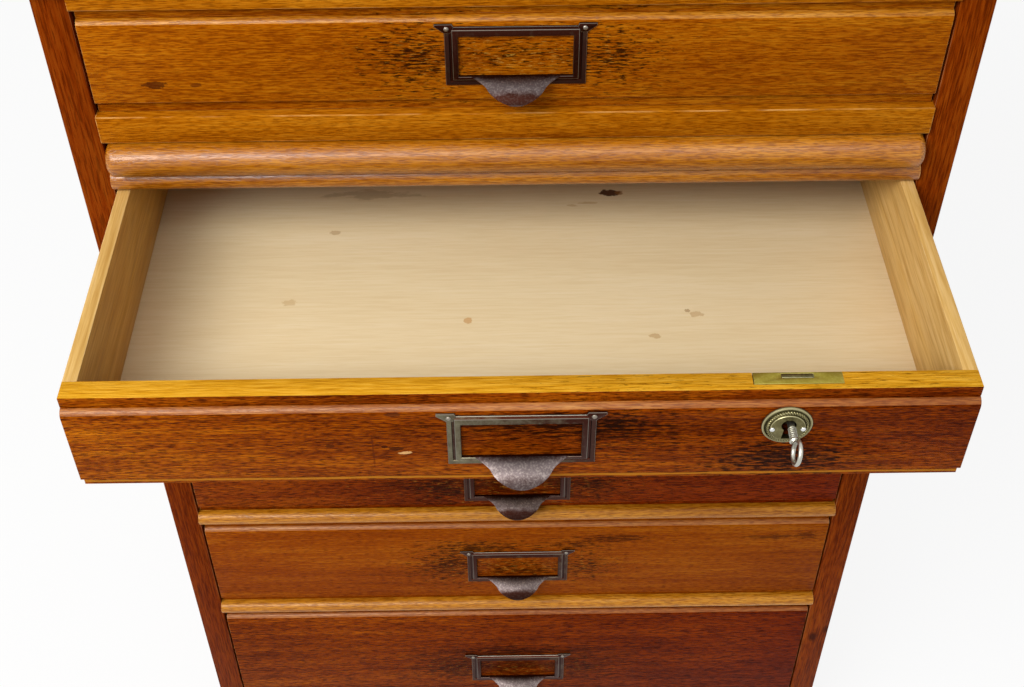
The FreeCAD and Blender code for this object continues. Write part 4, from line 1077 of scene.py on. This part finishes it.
# The key: radii of its ring bow, of the bow's wire and of its stem
BOW, WIRE, STEM = 7.0 * MM, 1.4 * MM, 2.3 * MM
# Its turned work in mm, out of the stem and along it: one fine collar, and the bolster under
# the bow, measured from the bow; then how many collars there are, and from where and how often
COLLAR = [(0.0, 0.0), (0.3, 0.3), (0.3, 0.7), (0.0, 1.0)]
BOLSTER = [(0.0, -3.2), (0.7, -2.9), (0.8, -1.8), (0.0, -1.0)]
COLLARS, COLLARS_START, COLLARS_STEP = 6, 12.0 * MM, 1.45 * MM
# Its bit: half its thickness, its length and how far it hangs from the axis
BIT_HALF, BIT_LENGTH, BIT_DROP = 1.2 * MM, 5 * MM, 8.5 * MM


class HABERDASHERY_OT_key(bpy.types.Operator):
    """Turn the key's stem and collars, bend its ring bow and shape its bit"""

    bl_idname = "haberdashery.key"
    bl_label = "Key"

    def execute(self, context):
        metals = finishes(context.scene, "cabinet_metals")
        axis = key_axis()
        low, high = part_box("key")
        tip = high[1]
        end = axis.y - low[1] - 2 * (BOW + WIRE) + WIRE
        profile = [(0.0, axis.y - tip), (STEM, axis.y - tip)]
        place = end - COLLARS_START
        for _ in range(COLLARS):
            profile += [(STEM + out * MM, place + along * MM) for out, along in COLLAR]
            place += COLLARS_STEP
        profile += [(STEM + out * MM, end + along * MM) for out, along in BOLSTER]
        profile += [(STEM * 0.8, end - 0.2 * MM), (0.0, end)]
        bm = bmesh.new()
        worn = bm.faces.layers.float.new("worn")
        turned(bm, profile, axis, 32)
        centre = Vector((axis.x, axis.y - end - BOW, axis.z))
        ring = bmesh.ops.create_circle(
            bm, segments=14, radius=WIRE,
            matrix=Matrix.Translation(centre + Vector((0, 0, BOW))))["verts"]
        for vert in ring:
            local = vert.co - centre
            vert.co = centre + Vector((local.x, 0, BOW + local.y))
        bmesh.ops.spin(bm, geom=ring + edges_at(ring), cent=centre, axis=(1, 0, 0),
                       angle=FULL_TURN, steps=56, use_merge=True)
        bit_low = Vector((axis.x - BIT_HALF, tip - BIT_LENGTH, axis.z - BIT_DROP))
        bit_high = Vector((axis.x + BIT_HALF, tip, axis.z))
        size = bit_high - bit_low
        bmesh.ops.create_cube(bm, size=1.0, matrix=Matrix.Translation((bit_low + bit_high) / 2)
                              @ Matrix.Diagonal((*size, 1)))
        bmesh.ops.rotate(bm, cent=axis, verts=bm.verts, matrix=Matrix.Rotation(
            context.scene.cabinet_lock.key_turn, 3, "Y"))
        bmesh.ops.recalc_face_normals(bm, faces=bm.faces)
        # The bow and the collars are rubbed
        for item in bm.faces:
            middle = item.calc_center_median()
            if middle.y < axis.y - end - 0.8 * BOW or (middle - axis).xz.length > STEM * 1.08:
                item[worn] = 0.7
        piece = finish_piece(bm, "key_turned", [metals["nickel"]], node_body("key"),
                             node_slot("key"))
        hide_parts("key")
        return {"FINISHED"}


# The lock's parts and their finishes, their easing, and how the brass strip shrank in its recess
LOCK_PLAN = {"lock_plate": "strip", "lock_case": "steel", "lock_bolt": "brass",
             "lock_strike": "strip"}
LOCK_EASE = 0.18 * MM
FRONT_GAP, END_GAP = 0.45 * MM, 0.5 * MM
NEAR_EDGE, STRIP_DEPTH = 0.3 * MM, 2.5 * MM


class HABERDASHERY_OT_lock(bpy.types.Operator):
    """Finish the lock's brass plate, case, bolt and strike"""

    bl_idname = "haberdashery.lock"
    bl_label = "Lock"

    def execute(self, context):
        metals = finishes(context.scene, "cabinet_metals")
        for name, finish in LOCK_PLAN.items():
            mark = shrink_strip if name == "lock_plate" else None
            dress_board(name, "X", [metals[finish]], LOCK_EASE, mark)
        return {"FINISHED"}


def shrink_strip(bm, name):
    """Draws the brass strip in, which leaves a dark gap in front and at its left end."""
    low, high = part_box(name)
    for vert in bm.verts:
        if vert.co.z > high[2] - STRIP_DEPTH and vert.co.y < low[1] + NEAR_EDGE:
            vert.co.y += FRONT_GAP
        if vert.co.x < low[0] + NEAR_EDGE:
            vert.co.x += END_GAP


# ---------------------------------------------------------------- stage

# The soft lights: place and size in m, and the setting that holds their power
LIGHTS = {
    "key_light": ((-1.9, -2.1, 2.95), (2.2, 1.3), "key_power"),
    "left_light": ((-0.6, -1.5, 2.4), (1.0, 0.9), "left_power"),
    "right_light": ((0.5, -1.5, 2.4), (1.1, 0.9), "right_power")}
LIT_POINT = Vector((0.0, -0.15, 0.75))
# How much of the floor is its own glow to the eye; the rest keeps the cabinet's shadow
FLOOR_GLOW = 0.88
# The camera: place, pitch, yaw and roll in degrees, lens and sensor width in mm
CAMERA_PLACE = (-0.0103, -0.8657, 1.4)
CAMERA_TURN = (44.888, 0.494, 0.388)
LENS, SENSOR = 49.89, 36.0


class HABERDASHERY_OT_stage(bpy.types.Operator):
    """Lay the floor, hang the lights and set up the camera"""

    bl_idname = "haberdashery.stage"
    bl_label = "Stage"

    def execute(self, context):
        scene = context.scene
        stage = scene.cabinet_stage
        lay_floor(stage)
        light_sky(scene, stage)
        for name, (place, size, power) in LIGHTS.items():
            hang_light(name, Vector(place), size, getattr(stage, power))
        place_camera(scene)
        scene.view_settings.view_transform = "Standard"
        return {"FINISHED"}


def seen_or_reflected(tree):
    """1 for rays that carry the background to the eye, directly or by a mirror or glass."""
    path = add(tree, "ShaderNodeLightPath")
    glossy = add(tree, "ShaderNodeMath", {
        0: path.outputs["Is Camera Ray"], 1: path.outputs["Is Glossy Ray"]}, operation="MAXIMUM")
    return add(tree, "ShaderNodeMath", {
        0: glossy, 1: path.outputs["Is Transmission Ray"]}, operation="MAXIMUM")


def lay_floor(stage):
    """A wide pale floor; its background glow leaves part of the cabinet's shadow to see."""
    bm = bmesh.new()
    bmesh.ops.create_grid(bm, x_segments=2, y_segments=2, size=8.0)
    mesh = bpy.data.meshes.new("studio_floor")
    bm.to_mesh(mesh)
    bm.free()
    floor = bpy.data.objects.new("studio_floor", mesh)
    bpy.context.scene.collection.objects.link(floor)
    # Matt white paper sweep: even, with no sheen
    material = bpy.data.materials.new("matt_paper_sweep")
    tree = emptied(material)
    paper = add(tree, "ShaderNodeBsdfPrincipled", {
        "Base Color": stage.floor_colour, "Roughness": 0.9, "Specular IOR Level": 0.1})
    glow = add(tree, "ShaderNodeEmission", {"Color": (1, 1, 1, 1), "Strength": 1.0})
    share = add(tree, "ShaderNodeMath", {0: seen_or_reflected(tree), 1: FLOOR_GLOW},
                operation="MULTIPLY")
    surface = add(tree, "ShaderNodeMixShader", {0: share, 1: paper, 2: glow})
    add(tree, "ShaderNodeOutputMaterial", {"Surface": surface})
    mesh.materials.append(material)


def light_sky(scene, stage):
    """Even light from all round that looks white to the camera and in reflections."""
    world = bpy.data.worlds.new("studio_sky")
    tree = emptied(world)
    strength = add(tree, "ShaderNodeMapRange", {
        "Value": seen_or_reflected(tree), "To Min": stage.sky, "To Max": 1.0})
    sky = add(tree, "ShaderNodeBackground", {"Color": (1, 1, 1, 1), "Strength": strength})
    add(tree, "ShaderNodeOutputWorld", {"Surface": sky})
    scene.world = world


def hang_light(name, place, size, power):
    """A rectangular soft light turned towards the lit point."""
    light = bpy.data.lights.new(name, "AREA")
    light.shape = "RECTANGLE"
    light.size, light.size_y = size
    light.energy = power
    lamp = bpy.data.objects.new(name, light)
    lamp.location = place
    lamp.rotation_euler = (LIT_POINT - place).to_track_quat("-Z", "Y").to_euler()
    bpy.context.scene.collection.objects.link(lamp)


def place_camera(scene):
    """A 50 mm lens 1.4 m up, looking down at the open drawer."""
    pitch, yaw, roll = (math.radians(angle) for angle in CAMERA_TURN)
    forward = Vector((math.sin(yaw) * math.cos(pitch), math.cos(yaw) * math.cos(pitch),
                      -math.sin(pitch)))
    right = Vector((math.cos(yaw), -math.sin(yaw), 0))
    down = forward.cross(right)
    image_right = right * math.cos(roll) + down * math.sin(roll)
    image_down = down * math.cos(roll) - right * math.sin(roll)
    data = bpy.data.cameras.new("view_camera")
    data.sensor_width = SENSOR
    data.sensor_fit = "HORIZONTAL"
    data.lens = LENS
    data.clip_start = 0.02
    camera = bpy.data.objects.new("view_camera", data)
    turn = Matrix((image_right, -image_down, -forward)).transposed().to_4x4()
    camera.matrix_world = Matrix.Translation(CAMERA_PLACE) @ turn
    scene.collection.objects.link(camera)
    scene.camera = camera


# ---------------------------------------------------------------- add-on

STEPS = ("stage", "carcass", "slide", "drawers", "pulls", "escutcheon", "key", "lock")


class HABERDASHERY_PT_panel(bpy.types.Panel):
    """Lists the cabinet's steps and settings"""

    bl_idname = "HABERDASHERY_PT_panel"
    bl_label = "Haberdashery Cabinet"
    bl_space_type = "VIEW_3D"
    bl_region_type = "UI"
    bl_category = "Cabinet"

    def draw(self, context):
        for step in STEPS:
            self.layout.operator(f"haberdashery.{step}")
        for group in (context.scene.cabinet_wear, context.scene.cabinet_pull,
                      context.scene.cabinet_lock, context.scene.cabinet_stage):
            box = self.layout.box()
            for name in group.__annotations__:
                box.prop(group, name)


GROUPS = {"cabinet_wear": CabinetWear, "cabinet_pull": CabinetPull, "cabinet_lock": CabinetLock,
          "cabinet_stage": CabinetStage}
CLASSES = [*GROUPS.values(), HABERDASHERY_OT_carcass, HABERDASHERY_OT_slide,
           HABERDASHERY_OT_drawers, HABERDASHERY_OT_pulls, HABERDASHERY_OT_escutcheon,
           HABERDASHERY_OT_key, HABERDASHERY_OT_lock, HABERDASHERY_OT_stage,
           HABERDASHERY_PT_panel]


def register():
    """Registers the classes and hangs the settings on the scene."""
    for item in CLASSES:
        bpy.utils.register_class(item)
    for name, group in GROUPS.items():
        setattr(bpy.types.Scene, name, PointerProperty(type=group))


def unregister():
    """Undoes register."""
    for name in GROUPS:
        delattr(bpy.types.Scene, name)
    for item in reversed(CLASSES):
        bpy.utils.unregister_class(item)


def main():
    """Builds everything in order."""
    register()
    scene = bpy.context.scene
    scene["cabinet_woods"] = {key: item.name for key, item in make_woods().items()}
    scene["cabinet_metals"] = {key: item.name for key, item in make_metals().items()}
    for step in STEPS:
        getattr(bpy.ops.haberdashery, step)()


if __name__ == "__main__":
    main()
